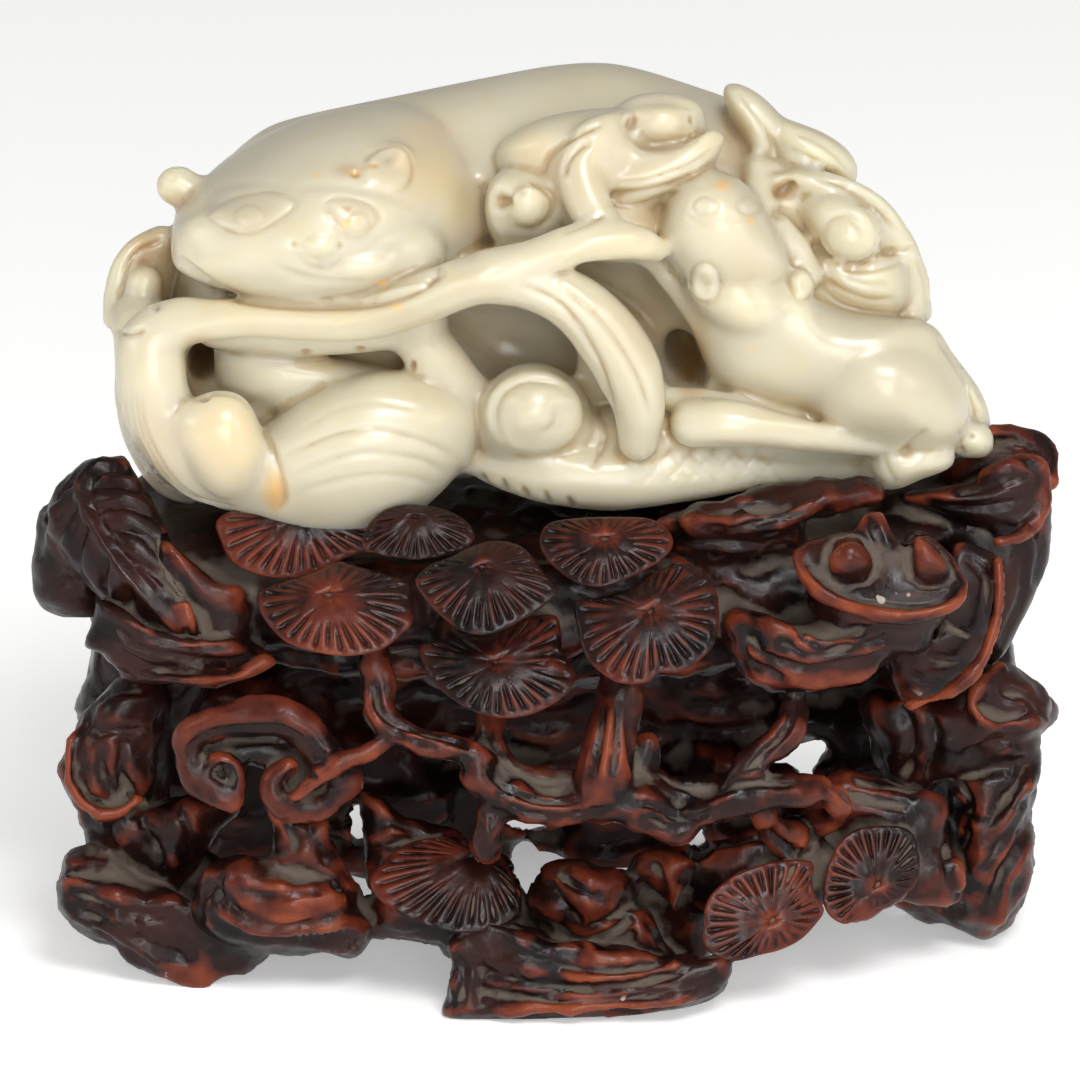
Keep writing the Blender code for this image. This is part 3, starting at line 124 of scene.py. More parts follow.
def round_line(points, closed, parts):
    """Smooth line through the points, with so many parts between each two."""
    knots = np.array(points, float)
    count = len(knots)
    line = []
    for index in range(count if closed else count - 1):
        if closed:
            before, here, there, after = (knots[(index + k) % count] for k in (-1, 0, 1, 2))
        else:
            before, here = knots[max(index - 1, 0)], knots[index]
            there, after = knots[index + 1], knots[min(index + 2, count - 1)]
        for part in range(parts):
            t = part / parts
            line.append(0.5 * (2 * here + (there - before) * t
                               + (2 * before - 5 * here + 4 * there - after) * t * t
                               + (3 * here - before - 3 * there + after) * t ** 3))
    if not closed:
        line.append(knots[-1])
    return np.array(line)


def skin(rings):
    """Closed mesh over rings with equal counts of points, the first and last closed over."""
    build = bmesh.new()
    loops = [[build.verts.new(point) for point in ring] for ring in rings]
    count = len(loops[0])
    for first, second in zip(loops, loops[1:]):
        for i in range(count):
            j = (i + 1) % count
            build.faces.new((first[i], first[j], second[j], second[i]))
    for loop in (loops[0], loops[-1]):
        middle = build.verts.new(sum((vert.co for vert in loop), Vector()) / count)
        for i in range(count):
            build.faces.new((loop[i], loop[(i + 1) % count], middle))
    bmesh.ops.recalc_face_normals(build, faces=build.faces)
    mesh = bpy.data.meshes.new("skin")
    build.to_mesh(mesh)
    build.free()
    new_object("skin", mesh)


def lobe(outline, back, rise, under=4.0, full=1.0, middle=None, lean=(0, 0)):
    """Pad with the outline as seen. It stands out by rise towards the viewer and by under behind.

    lean is how many millimetres deeper the pad gets over ten steps to the right and over ten down."""
    line = round_line(outline, True, 6)
    centre = np.array(middle) if middle else line.mean(0)
    rings = []
    for number in range(-9, 10):
        angle = math.pi / 2 * number / 9.35
        share = math.cos(angle)
        swell = math.copysign(abs(math.sin(angle)) ** full, angle)
        ring = []
        for corner in line:
            point = centre + (corner - centre) * share
            depth = back + (rise if swell < 0 else under) * swell
            depth += (lean[0] * (point[0] - centre[0]) - lean[1] * (point[1] - centre[1])) / 10
            ring.append(seen(point[0], point[1], depth))
        rings.append(ring)
    skin(rings)


def body(stations):
    """Long lump through stations of (across, seen top, seen bottom, back, half depth)."""
    rings = []
    for across, top, bottom, back, deep in round_line(stations, False, 5):
        half_seen = max((top - bottom) / 2, deep * LOOK_SIN + 0.3)
        high = math.sqrt(half_seen ** 2 - (deep * LOOK_SIN) ** 2) / LOOK_COS
        centre = seen(across, (top + bottom) / 2, back)
        angles = [2 * math.pi * i / 40 for i in range(40)]
        rings.append([centre + Vector((0, deep * math.cos(a), high * math.sin(a))) for a in angles])
    skin(rings)


def selected_alone(pieces):
    """Deselects everything else, as before any operator."""
    for other in bpy.data.objects:
        other.select_set(other in pieces)
    bpy.context.view_layer.objects.active = pieces[0]


def joined(name, forms):
    """Runs the forms and joins all that they add into one object of this name."""
    before = set(bpy.data.objects)
    for form in forms:
        form()
    added = [piece for piece in bpy.data.objects if piece not in before]
    selected_alone(added)
    bpy.ops.object.convert(target="MESH")
    if len(added) > 1:
        bpy.ops.object.join()
    bpy.ops.object.transform_apply(location=True, rotation=True, scale=True)
    bpy.context.object.name = name
    return bpy.context.object


def modified(piece, kind, **settings):
    """Adds a modifier with these settings and applies it."""
    modifier = piece.modifiers.new(kind, kind)
    for setting, value in settings.items():
        setattr(modifier, setting, value)
    selected_alone([piece])
    bpy.ops.object.modifier_apply(modifier=modifier.name)


def skinned(piece, fineness):
    """Draws one closed skin over all the forms of the piece."""
    modified(piece, "REMESH", mode="VOXEL", voxel_size=fineness, adaptivity=0)


def fused(first, second, fineness):
    """Both pieces under one closed skin."""
    selected_alone([first, second])
    bpy.ops.object.join()
    skinned(bpy.context.object, fineness)
    return bpy.context.object


def cut_away(piece, openings):
    """Cuts the openings out of the piece and drops them."""
    modified(piece, "BOOLEAN", operation="DIFFERENCE", solver="EXACT", object=openings)
    bpy.data.objects.remove(openings)


def places_of(piece):
    """Where each point of the piece lies."""
    flat = np.empty(len(piece.data.vertices) * 3, np.float32)
    piece.data.vertices.foreach_get("co", flat)
    return flat.reshape(-1, 3).astype(float)


def normals_of(piece):
    """Which way the skin faces at each point."""
    flat = np.empty(len(piece.data.vertices) * 3, np.float32)
    piece.data.vertex_normals.foreach_get("vector", flat)
    return flat.reshape(-1, 3).astype(float)


def edges_of(piece):
    """The numbers of the two points at the ends of each edge."""
    flat = np.empty(len(piece.data.edges) * 2, np.int32)
    piece.data.edges.foreach_get("vertices", flat)
    return flat.reshape(-1, 2)


def put_places(piece, places):
    """Moves each point of the piece to its new place."""
    piece.data.vertices.foreach_set("co", places.astype(np.float32).ravel())
    piece.data.update()


def evened(values, edges, times):
    """Each point's value drawn halfway to the mean of its neighbours, so many times."""
    count = len(values)
    shape = (count,) + values.shape[1:]
    meeting = np.bincount(edges.ravel(), minlength=count).astype(float)
    meeting = np.maximum(meeting, 1).reshape((count,) + (1,) * (values.ndim - 1))
    for _ in range(times):
        total = np.zeros(shape)
        columns = values.reshape(count, -1)
        sums = total.reshape(count, -1)
        for column in range(columns.shape[1]):
            sums[:, column] = (np.bincount(edges[:, 0], columns[edges[:, 1], column], count)
                               + np.bincount(edges[:, 1], columns[edges[:, 0], column], count))
        values = 0.5 * values + 0.5 * total / meeting
    return values


def softened(piece, times):
    """Rounds the skin over by so many steps and swells it back, so that it doesn't shrink."""
    edges = edges_of(piece)
    places = places_of(piece)
    for _ in range(times):
        places = evened(places, edges, 1)
        places = places - 0.53 * 2 * (evened(places, edges, 1) - places)
    put_places(piece, places)


def keep_largest(piece):
    """Drops crumbs that hang on nothing."""
    edges = edges_of(piece)
    group = np.arange(len(piece.data.vertices))
    while True:
        low = np.minimum(group[edges[:, 0]], group[edges[:, 1]])
        after = group.copy()
        np.minimum.at(after, edges[:, 0], low)
        np.minimum.at(after, edges[:, 1], low)
        after = after[after]
        if (after == group).all():
            break
        group = after
    largest = np.bincount(group).argmax()
    build = bmesh.new()
    build.from_mesh(piece.data)
    build.verts.ensure_lookup_table()
    crumbs = [build.verts[i] for i in np.flatnonzero(group != largest)]
    bmesh.ops.delete(build, geom=crumbs, context="VERTS")
    build.to_mesh(piece.data)
    build.free()


class Carver:
    """Cuts into a piece's front where it shows. A cut is counted in millimetres below the skin.

    The skin counts as showing down to SHOWN_DEPTH behind what lies nearest the eye in its cell."""

    CELL = 0.5
    SHOWN_DEPTH = 1.6

    def __init__(self, piece):
        self.piece = piece
        self.places = places_of(piece)
        self.normals = normals_of(piece)
        height = self.places[:, 2] - SIGHT_HEIGHT
        depth = self.places[:, 1] * LOOK_COS - height * LOOK_SIN
        far = 1 + depth / EYE_DISTANCE
        self.across = self.places[:, 0] / far
        self.up = SIGHT_UP + (height * LOOK_COS + self.places[:, 1] * LOOK_SIN) / far
        facing = -self.normals[:, 1] * LOOK_COS + self.normals[:, 2] * LOOK_SIN
        column = np.floor((self.across + 60) / self.CELL).astype(int)
        row = np.floor((self.up + 20) / self.CELL).astype(int)
        cell = column * (row.max() + 1) + row
        nearest = np.full(cell.max() + 1, 1e9)
        np.minimum.at(nearest, cell, depth)
        shown = depth < nearest[cell] + self.SHOWN_DEPTH
        self.open = np.clip((facing - 0.05) / 0.2, 0, 1) * shown
        self.cut = np.zeros(len(depth))

    def near(self, points, reach):
        """Points of the skin near a line as seen, each with its distance and its share along the line."""
        low = points.min(0) - reach
        high = points.max(0) + reach
        found = np.flatnonzero((self.across > low[0]) & (self.across < high[0])
                               & (self.up > low[1]) & (self.up < high[1]) & (self.open > 0))
        spot = np.stack([self.across[found], self.up[found]], 1)
        best = np.full(len(found), 1e9)
        share = np.zeros(len(found))
        lengths = np.linalg.norm(np.diff(points, axis=0), axis=1)
        run = np.concatenate([[0], np.cumsum(lengths)])
        for start, end, length, before in zip(points, points[1:], lengths, run):
            along = np.clip((spot - start) @ (end - start) / max(length ** 2, 1e-9), 0, 1)
            away = np.linalg.norm(spot - start - along[:, None] * (end - start), axis=1)
            closer = away < best
            best[closer] = away[closer]
            share[closer] = (before + along[closer] * length) / run[-1]
        return found, best, share

    def groove(self, points, wide, deep, taper=0.15, closed=False):
        """Cut along a smooth line, running out at both ends. A negative depth raises a ridge."""
        line = round_line(points, closed, 5)
        if closed:
            line = np.vstack([line, line[:1]])
        found, away, share = self.near(line, 2.2 * wide)
        fade = 1.0
        if not closed and taper:
            fade = np.clip(np.minimum(share, 1 - share) / taper, 0, 1) ** 0.7
        self.cut[found] += deep * np.exp(-(away / wide) ** 2) * fade * self.open[found]

    def spot(self, across, up, half_wide, half_high, turn=0.0):
        """Share of each point in a soft round spot as seen, from 1 in its middle down to 0."""
        angle = math.radians(turn)
        right, rise = self.across - across, self.up - up
        first = (right * math.cos(angle) + rise * math.sin(angle)) / half_wide
        second = (rise * math.cos(angle) - right * math.sin(angle)) / half_high
        return np.exp(-(first ** 2 + second ** 2) ** 1.5)

    def pit(self, across, up, half_wide, half_high, deep, turn=0.0):
        """Round drilled pit, or a knob with a negative depth."""
        self.cut += deep * self.spot(across, up, half_wide, half_high, turn) * self.open

    def pad(self, outline, high, soft):
        """Raised field inside an outline, its edge rounded over the width soft."""
        line = round_line(outline, True, 5)
        line = np.vstack([line, line[:1]])
        found, away, _ = self.near(line, max(np.ptp(line[:, 0]), np.ptp(line[:, 1])))
        spot_across, spot_up = self.across[found], self.up[found]
        inside = np.zeros(len(found), bool)
        for (left, low), (right, top) in zip(line, line[1:]):
            between = (low > spot_up) != (top > spot_up)
            if low != top:
                inside ^= between & (spot_across < left + (spot_up - low) / (top - low) * (right - left))
        share = np.clip(away / soft, 0, 1)
        self.cut[found] -= high * np.where(inside, share * (2 - share), 0) * self.open[found]

    def ringed(self, outline, high, soft, wide, deep):
        """Raised field with a line cut round it, as an eye or a small ear."""
        self.pad(outline, high, soft)
        self.groove(outline, wide, deep, closed=True)

    def done(self):
        """Lowers the skin by all that was cut."""
        put_places(self.piece, self.places - self.normals * self.cut[:, None])


def thinned(piece, triangles):
    """Collapses edges where the skin is flattest, until so many triangles are left."""
    piece.data.calc_loop_triangles()
    modified(piece, "DECIMATE", ratio=min(1.0, triangles / len(piece.data.loop_triangles)),
             use_collapse_triangulate=True)


def marked(piece, name, values):
    """Writes one value for each point, for the material to read."""
    layer = piece.data.attributes.new(name, "FLOAT", "POINT")
    layer.data.foreach_set("value", np.ascontiguousarray(values, np.float32))


def sheltered(piece, reach, others=()):
    """How much of what each point faces is closed off within reach, from 0 in the open to 1."""
    places = places_of(piece)
    normals = normals_of(piece)
    polygons = [tuple(face.vertices) for face in piece.data.polygons]
    points = [Vector(place) for place in places]
    trees = [BVHTree.FromPolygons(points, polygons), *others]
    golden_turn = 2.39996
    off_the_skin = 0.06
    count = 10
    ways = []
    for number in range(count):
        rise = 1 - (number + 0.5) / count * 0.85
        turn = number * golden_turn
        flat = math.sqrt(1 - rise * rise)
        ways.append(Vector((flat * math.cos(turn), flat * math.sin(turn), rise)))
    closed = np.zeros(len(points))
    for index, point in enumerate(points):
        normal = Vector(normals[index])
        turned = normal.to_track_quat("Z", "Y")
        start = point + normal * off_the_skin
        for way in ways:
            for tree in trees:
                distance = tree.ray_cast(start, turned @ way, reach)[3]
                if distance is not None:
                    closed[index] += 1 - distance / reach
                    break
    return evened(closed / len(ways), edges_of(piece), 2)


def sharpness(piece, times):
    """How sharply each point stands out, from -1 in a groove to 1 on an edge."""
    places = places_of(piece)
    normals = normals_of(piece)
    edges = edges_of(piece)
    gap = places[edges[:, 1]] - places[edges[:, 0]]
    bend = (normals[edges[:, 1]] - normals[edges[:, 0]]) * gap
    bend = bend.sum(1) / np.maximum((gap ** 2).sum(1), 1e-6)
    count = len(places)
    total = np.bincount(edges[:, 0], bend, count) + np.bincount(edges[:, 1], bend, count)
    total /= np.maximum(np.bincount(edges.ravel(), minlength=count), 1)
    return np.clip(evened(total, edges, times), -1, 1)


def placed(piece):
    """Turns millimetres into metres, at the place of the CAD piece."""
    put_places(piece, places_of(piece) * MM + np.array(MIDDLE))
    piece.data.shade_smooth()


def jade_body():
    """Rounded back and belly of the pebble."""
    body([(-37.5, 72.8, 61.8, 4, 5), (-36.8, 75.6, 59.3, 3.5, 7.5), (-35, 80.3, 56.8, 3.5, 11.5),
        (-32, 85, 54.3, 3.5, 14.5), (-28, 88.6, 53, 3.5, 16.5), (-24, 90.1, 52.6, 3.5, 16.5),
        (-14, 92.2, 53.3, 3.5, 16.5), (-4, 94.2, 54.4, 3.5, 16.5), (2, 95.2, 54.4, 3.5, 16.5),
        (8, 95.2, 54, 3.5, 16.5), (16, 92.9, 54.4, 3.5, 16.5), (22, 90.6, 54.8, 3.5, 16.5),
        (28, 86.8, 54.8, 3.5, 14.5), (34, 80.1, 54.8, 3.5, 14), (38.5, 69.8, 55.2, 3.5, 11),
        (42, 64.6, 56, 4, 8.5), (44.2, 60.8, 57.2, 3, 4.5)])


def jade_hollows():
    """Hollows ground into the body behind the branch and around the pup."""
    # window under the branch on the left
    ball(-20.5, 65.6, -15, 10.0, 7.0, 2.6, (0, 4, 0))
    ball(-14, 65.2, -14, 3, 5, 1.6)
    ball(-33.8, 65.4, -10, 1.5, 26, 2.3, (0, 25, 0))
    # middle hollow
    lobe([(-10, 70.6), (-8, 71.4), (-4, 72), (0.5, 71.2), (2.2, 69.3), (3.6, 67.3), (3.2, 63.8),
        (-1, 63.3), (-5, 63.3), (-7.8, 66), (-9.3, 68)], -12, 5, 8.0, full=0.6)
    # hollow at the right of the curved tail
    lobe([(2.2, 75), (4, 76), (7, 75.5), (10, 75.4), (12.4, 72.8), (14.6, 69.8), (16, 67.3), (17, 64.8),
        (16, 63.4), (14.4, 62.9), (12.4, 63.4), (11.8, 65.3), (10, 68), (8, 70.8), (5.8, 72.8)],
        -12, 5, 8.5, full=0.6)
    ball(14.6, 65.2, -9, 2.2, 16, 2.6, (0, -30, 0))
    # hollow over the foreleg
    ball(21.2, 63, -15, 4.6, 5, 1.6, (0, 25, 0))
    # recess on the flank between the head and the fungus
    lobe([(-7, 84.3), (-6, 85.8), (-4.2, 85.8), (-4, 83.8), (-5, 80.8), (-4.8, 77.8), (-3.5, 76.8),
        (-6, 76.5), (-8.5, 75.6), (-9.6, 75.6), (-9.2, 77.8), (-8.5, 80.3)], -14, 5, 7.0)
    # pocket between the pup's head and the tail lobes
    lobe([(17.4, 90.6), (18.2, 90), (20, 87.8), (21.2, 85.3), (21, 84), (19.8, 84.6), (17.8, 85.2),
        (18.2, 86.8)], -14, 4, 7.5)
    ball(11.2, 80.3, -16, 1.6, 4, 1.2, (0, -10, 0))


def big_head():
    """Broad head of the big lion-dog, with its ears."""
    body([(-36.8, 79.6, 76, -7, 4), (-36.2, 81.1, 74.8, -7, 8), (-34, 84, 73.6, -6.5, 12.5),
        (-30, 87.2, 72.4, -6, 15), (-25, 89.6, 71.7, -6, 15.8), (-20, 91, 71.6, -6, 15.6),
        (-15, 91.4, 72.2, -5, 14.6), (-11, 90.6, 73.8, -3, 13), (-7, 88.8, 75.6, 0, 12),
        (-4, 86.8, 77.3, 2, 10)])
    lobe([(-36.6, 77.8), (-36, 75.6), (-34, 73.9), (-30, 72.4), (-25, 71.6), (-21, 71.6), (-16, 72.1),
        (-12, 73.3), (-9.4, 75.6), (-11, 79.3), (-19, 81.8), (-29, 81.8), (-35, 80.3)],
        -15, 6.0, 6, full=0.8, lean=(0, -1.5))
    # muzzle and cheeks, low
    ball(-22.2, 76.8, -20.2, 2.0, 1.4, 1.4)
    ball(-18.8, 75.6, -18.0, 6, 3.4, 2.6, (0, -12, 0))
    # ears
    ball(-36.2, 83.2, -4, 2.3, 2.0, 2.1)
    strand([(-35.8, 83, -4, 1.7), (-32.5, 81.5, -4, 2.6)])
    ball(-15.3, 85.1, -13.4, 3.0, 2.4, 2.3, (0, -35, 0))


def limb_and_branch():
    """Bent limb at the left that runs into the forked branch."""
    strand([(-31.4, 52.3, -14, 1.6), (-34, 54.4, -15, 2.8), (-36.4, 57.8, -16, 3.6),
        (-38.3, 61.3, -16, 3.6), (-38.9, 64.6, -16, 3.6), (-38.7, 67.3, -15.5, 3.6),
        (-36.4, 69.4, -16, 2.7), (-33, 69.8, -17, 2.2), (-29, 69.9, -18, 1.9), (-23, 69.6, -18.5, 2.0),
        (-17, 70, -19, 2.2), (-12, 71.8, -20, 2.6), (-7, 73.7, -20.5, 2.6), (-4, 74.2, -20.5, 2.6)])
    strand([(-40, 68.8, -10, 2.8), (-39.4, 64.8, -9, 3.2), (-39, 61.8, -9, 3.6), (-35.2, 56.6, -8, 4.0),
        (-31, 54.4, -8, 3.4)])
    # underside of the branch, joined to the head's throat
    strand([(-32.5, 69.2, -13, 2.2), (-22, 68.8, -13, 2.5), (-12, 70, -14, 2.8)], deep=1.4)
    # upper fork
    strand([(-5, 74.6, -20.5, 2.4), (-0.5, 75.8, -20.5, 2.2), (3.5, 77.4, -20.5, 2.1),
        (7, 77.8, -20, 2.1), (10, 77.5, -19, 1.8), (11.6, 76.8, -17, 1.3)])
    # lower fork, the curved tail
    strand([(-6, 74, -20.5, 2.5), (-1, 73.4, -20, 2.6), (3.3, 71.6, -20, 3.0), (6.7, 68.2, -19.5, 3.4),
        (8.9, 64.6, -19, 3.4), (9.9, 61, -18.5, 2.7), (9.8, 57.8, -17.5, 2.1)], deep=1.1)
    # strut to the bulb
    strand([(-13.5, 69.3, -15, 2.4), (-11, 66.6, -14.5, 2.9), (-8.4, 62.6, -13, 3.2)])


def bulb_and_bud():
    """Swollen leaf at the lower left, its bud, and the leg behind them."""
    lobe([(-25.5, 60.6), (-21, 63.2), (-17, 64.6), (-14, 64.8), (-10, 63.8), (-7, 62), (-6, 59.6),
        (-6.6, 56.6), (-8.4, 54.1), (-10.3, 52.1), (-13, 49.9), (-17, 48.2), (-22, 47.7), (-26, 48.5),
        (-30, 50.3), (-32.6, 51.6), (-32.8, 54.8), (-30, 57.8), (-27.5, 59.3)],
        -13.5, 8.0, 8.5, full=0.9)
    # bud
    lobe([(-35, 61.8), (-32.5, 62.8), (-30, 62.4), (-28.5, 60.6), (-27.4, 57.8), (-27.2, 55.6),
        (-28, 53.4), (-29.7, 52.1), (-31.8, 51.9), (-33.7, 53), (-35.4, 55.2), (-36.8, 57.8),
        (-36.8, 60.3)], -17.5, 4.6, 4, full=0.9)
    # inner leg seen through the window
    lobe([(-32.5, 67), (-29, 67.3), (-24, 66.6), (-18, 65.6), (-13.2, 64.6), (-17, 63.3), (-21, 61.8),
        (-24, 60.6), (-26, 60.2), (-28.5, 61.4), (-30.8, 62), (-32.2, 63.3)], -11, 3.6, 6)
    ball(-25.4, 64, -12.6, 2.2, 1.7, 2.4, (0, 10, 0))
    ball(-21.8, 64, -12.6, 2.4, 1.7, 1.9)


def lower_body():
    """Scroll on the haunch and the long lower body along the seat."""
    lobe([(-6.2, 61.8), (-4, 64.5), (-1, 65.6), (1.6, 65.1), (3.7, 63.5), (5, 61.3), (5.2, 58.8),
        (4, 56.6), (1, 55.2), (-3, 55.4), (-5.8, 57), (-6.6, 59.4)], -13.5, 5.4, 6, full=0.9)
    ball(-0.6, 60.4, -17.2, 5.0, 1.9, 4.5)
    ball(-0.6, 60.4, -18.6, 2.6, 1.2, 2.3)
    # lower body
    strand([(-6.8, 55.9, -12.5, 1.6), (-3.5, 55.2, -13.5, 2.5), (0.5, 54.6, -14.5, 3.2),
        (7, 54.1, -14.5, 3.5), (15, 54.6, -13.5, 3.0), (24, 55.2, -12, 2.0), (33, 55.2, -10, 1.7)])
    strand([(2, 57.8, -12, 3), (11, 57.8, -13, 3.2), (18, 57, -12, 3), (28, 56.3, -9, 2.6)])


def pup():
    """The pup: raised head, neck, round haunch, foreleg and paws."""
    # head, torso and haunch
    lobe([(17.2, 84.8), (19.5, 84.3), (21.2, 82.6), (22.8, 80.3), (24.1, 77.6), (24.8, 75), (23, 72.6),
        (19.5, 71.6), (16, 72.6), (13.5, 74.6), (11.8, 77.8), (12.3, 80.6), (13.4, 82.8), (15.2, 84.4)],
        -12.5, 7.8, 7, full=0.85)
    lobe([(13.8, 75), (19, 76.8), (25, 75), (27.5, 72), (31, 70.5), (35, 70), (39, 69.5), (41, 67),
        (42.6, 63.3), (42.8, 59.8), (41, 57.3), (36, 56.8), (31, 57.8), (27, 60.4), (24, 60.9),
        (20.5, 61.9), (17.5, 63.7), (16, 66.6), (14.6, 70.6)], -10.5, 7.0, 8, full=0.8)
    lobe([(27.5, 67.8), (32, 69.3), (37.5, 68.6), (41, 65.6), (42.8, 61.3), (42.5, 58.2), (40, 56.5),
        (35, 56.4), (30.5, 57.1), (27.5, 59), (26, 62.6)], -9.5, 9.6, 9, full=0.95)
    ball(20.2, 72.6, -12.6, 6.2, 6.0, 4.0, (0, 25, 0))
    # stone left between the haunch, the foreleg and the lower body
    lobe([(14, 61.8), (21, 62.8), (30, 59.8), (34.4, 57.2), (29, 55.6), (20, 55.6), (10, 54.8),
        (5, 55.6), (5.4, 58.2), (10, 58.8)], -11.6, 4.2, 4)
    # foreleg and paw, other paws
    strand([(15.4, 59.5, -17, 2.5), (19, 59.5, -17.8, 2.4), (24, 58.7, -17.2, 1.9),
        (30, 57.7, -15.5, 1.4), (34.5, 57.3, -14, 1.3)])
    strand([(12.8, 62, -14.5, 1.3), (16, 61.6, -15, 1.6), (20.5, 61.2, -14.5, 1.0),
        (25, 60, -13.5, 1.2)])
    lobe([(32.2, 56.6), (36, 57.3), (40.5, 57.3), (41.7, 55.8), (40.5, 54.7), (38, 53.8), (36, 52.9),
        (34, 52.8), (32.6, 53.4)], -10.5, 4.6, 4)
    lobe([(40.6, 59.3), (43.5, 59.9), (45, 59), (45.5, 57.5), (44.8, 56.1), (43, 56), (41.3, 56.4)],
        -6.5, 3.2, 4)
    # ears
    ball(16.3, 73.4, -16.6, 1.7, 0.8, 2.1, (0, 8, 0))
    ball(26, 73.4, -13.8, 1.6, 1.0, 1.8, (0, -20, 0))
    # thin leaf at the far right
    lobe([(39.2, 68.8), (42, 65.6), (44.4, 62.1), (45.1, 58.8), (43.5, 57.8), (41.5, 60.8),
        (39.5, 64.8)], -1, 3, 4)


def tail():
    """Bushy tail of the big lion-dog: curl, lobes and outer rim."""
    lobe([(26, 81.5), (28.5, 82.9), (31, 82.7), (33.2, 80.8), (34.5, 78), (33.9, 76.1), (31.8, 75.2),
        (29.5, 75.8), (27.3, 77.6)], -7.5, 5.0, 6)
    lobe([(27.5, 76.8), (30.5, 75.6), (34, 76.2), (36.2, 75.6), (36.8, 72.8), (35.6, 70.4), (32, 70.2),
        (29, 71.5), (27.2, 74)], -7.5, 4.4, 6)
    ball(31.1, 78.5, -11.2, 3.2, 1.6, 3.0)
    ball(31.1, 78.2, -12.4, 1.5, 1.0, 1.4)
    lobe([(26, 84.8), (30, 84), (33.2, 81.8), (36, 79.4), (37.5, 76.8), (38.7, 73.3), (39.2, 69.8),
        (36.5, 69.6), (34, 71.8), (31, 75.8), (27.5, 80.3)], -3, 5, 6)
    strand([(25.5, 84, -8, 1.2), (29.5, 83.2, -8.5, 1.3), (33.2, 81.3, -8, 1.4), (35.5, 78.6, -7, 1.4),
        (37, 75.6, -6.5, 1.4), (37.8, 72.3, -6.5, 1.4), (37.2, 70.2, -7, 1.2)])
    lobe([(18.2, 93), (19.3, 93.6), (21.2, 92.9), (23, 91.5), (24.3, 89.9), (24.8, 87.8), (24, 85.8),
        (22.8, 84.6), (21.4, 83.8), (21.2, 85.8), (20.1, 88.3), (18.8, 90.8)], -2.5, 4.4, 5)
    lobe([(23.6, 90), (26.5, 89.3), (29, 88.2), (31, 86.6), (31.9, 84.8), (31.3, 83.5), (29.5, 83.8),
        (26.5, 84.8), (23.5, 85), (22.8, 87.8)], -3, 4.6, 6)
    strand([(21.6, 85, -7.5, 1.2), (22.1, 82.3, -9.4, 1.4), (23.5, 79.3, -10.2, 1.6),
        (25.5, 76.6, -10.5, 1.8), (26.6, 74.2, -11.2, 1.6)])
    ball(24.6, 82.8, -4, 3.0, 3, 3.0)
    lobe([(20.4, 86), (23.2, 85.8), (26.4, 84.2), (28.2, 81.2), (27.2, 76.8), (24.6, 77.8),
        (22.2, 81.3)], -5.8, 3.2, 4)


def fungus_head():
    """Head of fungus on the branch: lobes, curls, knobs and stem."""
    lobe([(-4, 84.6), (-4.4, 86.6), (-3.5, 88), (-1, 89.6), (2.5, 90.6), (7, 91), (10, 89.8),
        (10, 86.8), (6, 83.8), (2, 81.8), (-2.5, 82.8)], -9, 5.5, 6)
    lobe([(-4, 84.7), (-5.2, 83.4), (-5.6, 81), (-5.1, 78.6), (-3.4, 77.2), (-0.5, 77.5), (2, 78.7),
        (3.8, 80.6), (3.6, 83), (1, 84.2), (-2, 84.8)], -12.5, 4.2, 5)
    ball(-1.4, 81.5, -16.6, 1.9, 1.2, 2.3)
    lobe([(7.8, 91.3), (9.8, 92.4), (13, 92.6), (15.7, 91.7), (16.6, 90), (16.2, 88), (14, 86.8),
        (11, 86.2), (8.5, 86.8), (7, 88.8)], -9.5, 4.0, 5)
    ball(12.1, 89.6, -13.2, 2.1, 1.0, 1.6)
    # stone left between the cap, the lip and the stem
    lobe([(5.8, 87.6), (10, 87), (15, 87.6), (17.6, 89), (17.6, 86), (12.4, 83.4), (7.2, 82.2),
        (5, 84.6)], -12.6, 3.1, 4)
    # broad stem from the cap down to the branch
    lobe([(0.5, 84.3), (1.2, 86.6), (3.2, 88.4), (6.2, 89.6), (9.2, 89.2), (10.5, 87), (9, 84.6),
        (6.8, 82.2), (6.6, 79.6), (5, 78.2), (2.8, 79.2), (1.6, 81.6)],
        -13.2, 3.6, 4, full=0.8, lean=(0, -2.5))
    strand([(8.5, 89.4, -12.5, 1.6), (5.4, 87.8, -14.5, 2.2), (4, 85, -15.6, 2.4), (4.6, 82, -17, 2.4),
        (6, 79.3, -18.5, 2.2)], deep=0.8)
    strand([(7, 83.6, -15.4, 0.8), (11, 84.2, -15.7, 1.1), (15, 85.8, -14.9, 1.1),
        (17.8, 88, -12.7, 0.8)])
    lobe([(6.3, 84.8), (10, 85.4), (14, 86.8), (17.2, 88.8), (18.4, 87.8), (17.6, 85.6), (15, 83.4),
        (12.4, 81.5), (10, 80.4), (7, 79.6), (5.4, 81.3)], -11.5, 4.6, 5)
    lobe([(5, 81.8), (9, 81.8), (12, 80.3), (12.2, 76.8), (8, 76), (4.5, 76.8), (2, 77.8)],
        -12.5, 4.0, 5)


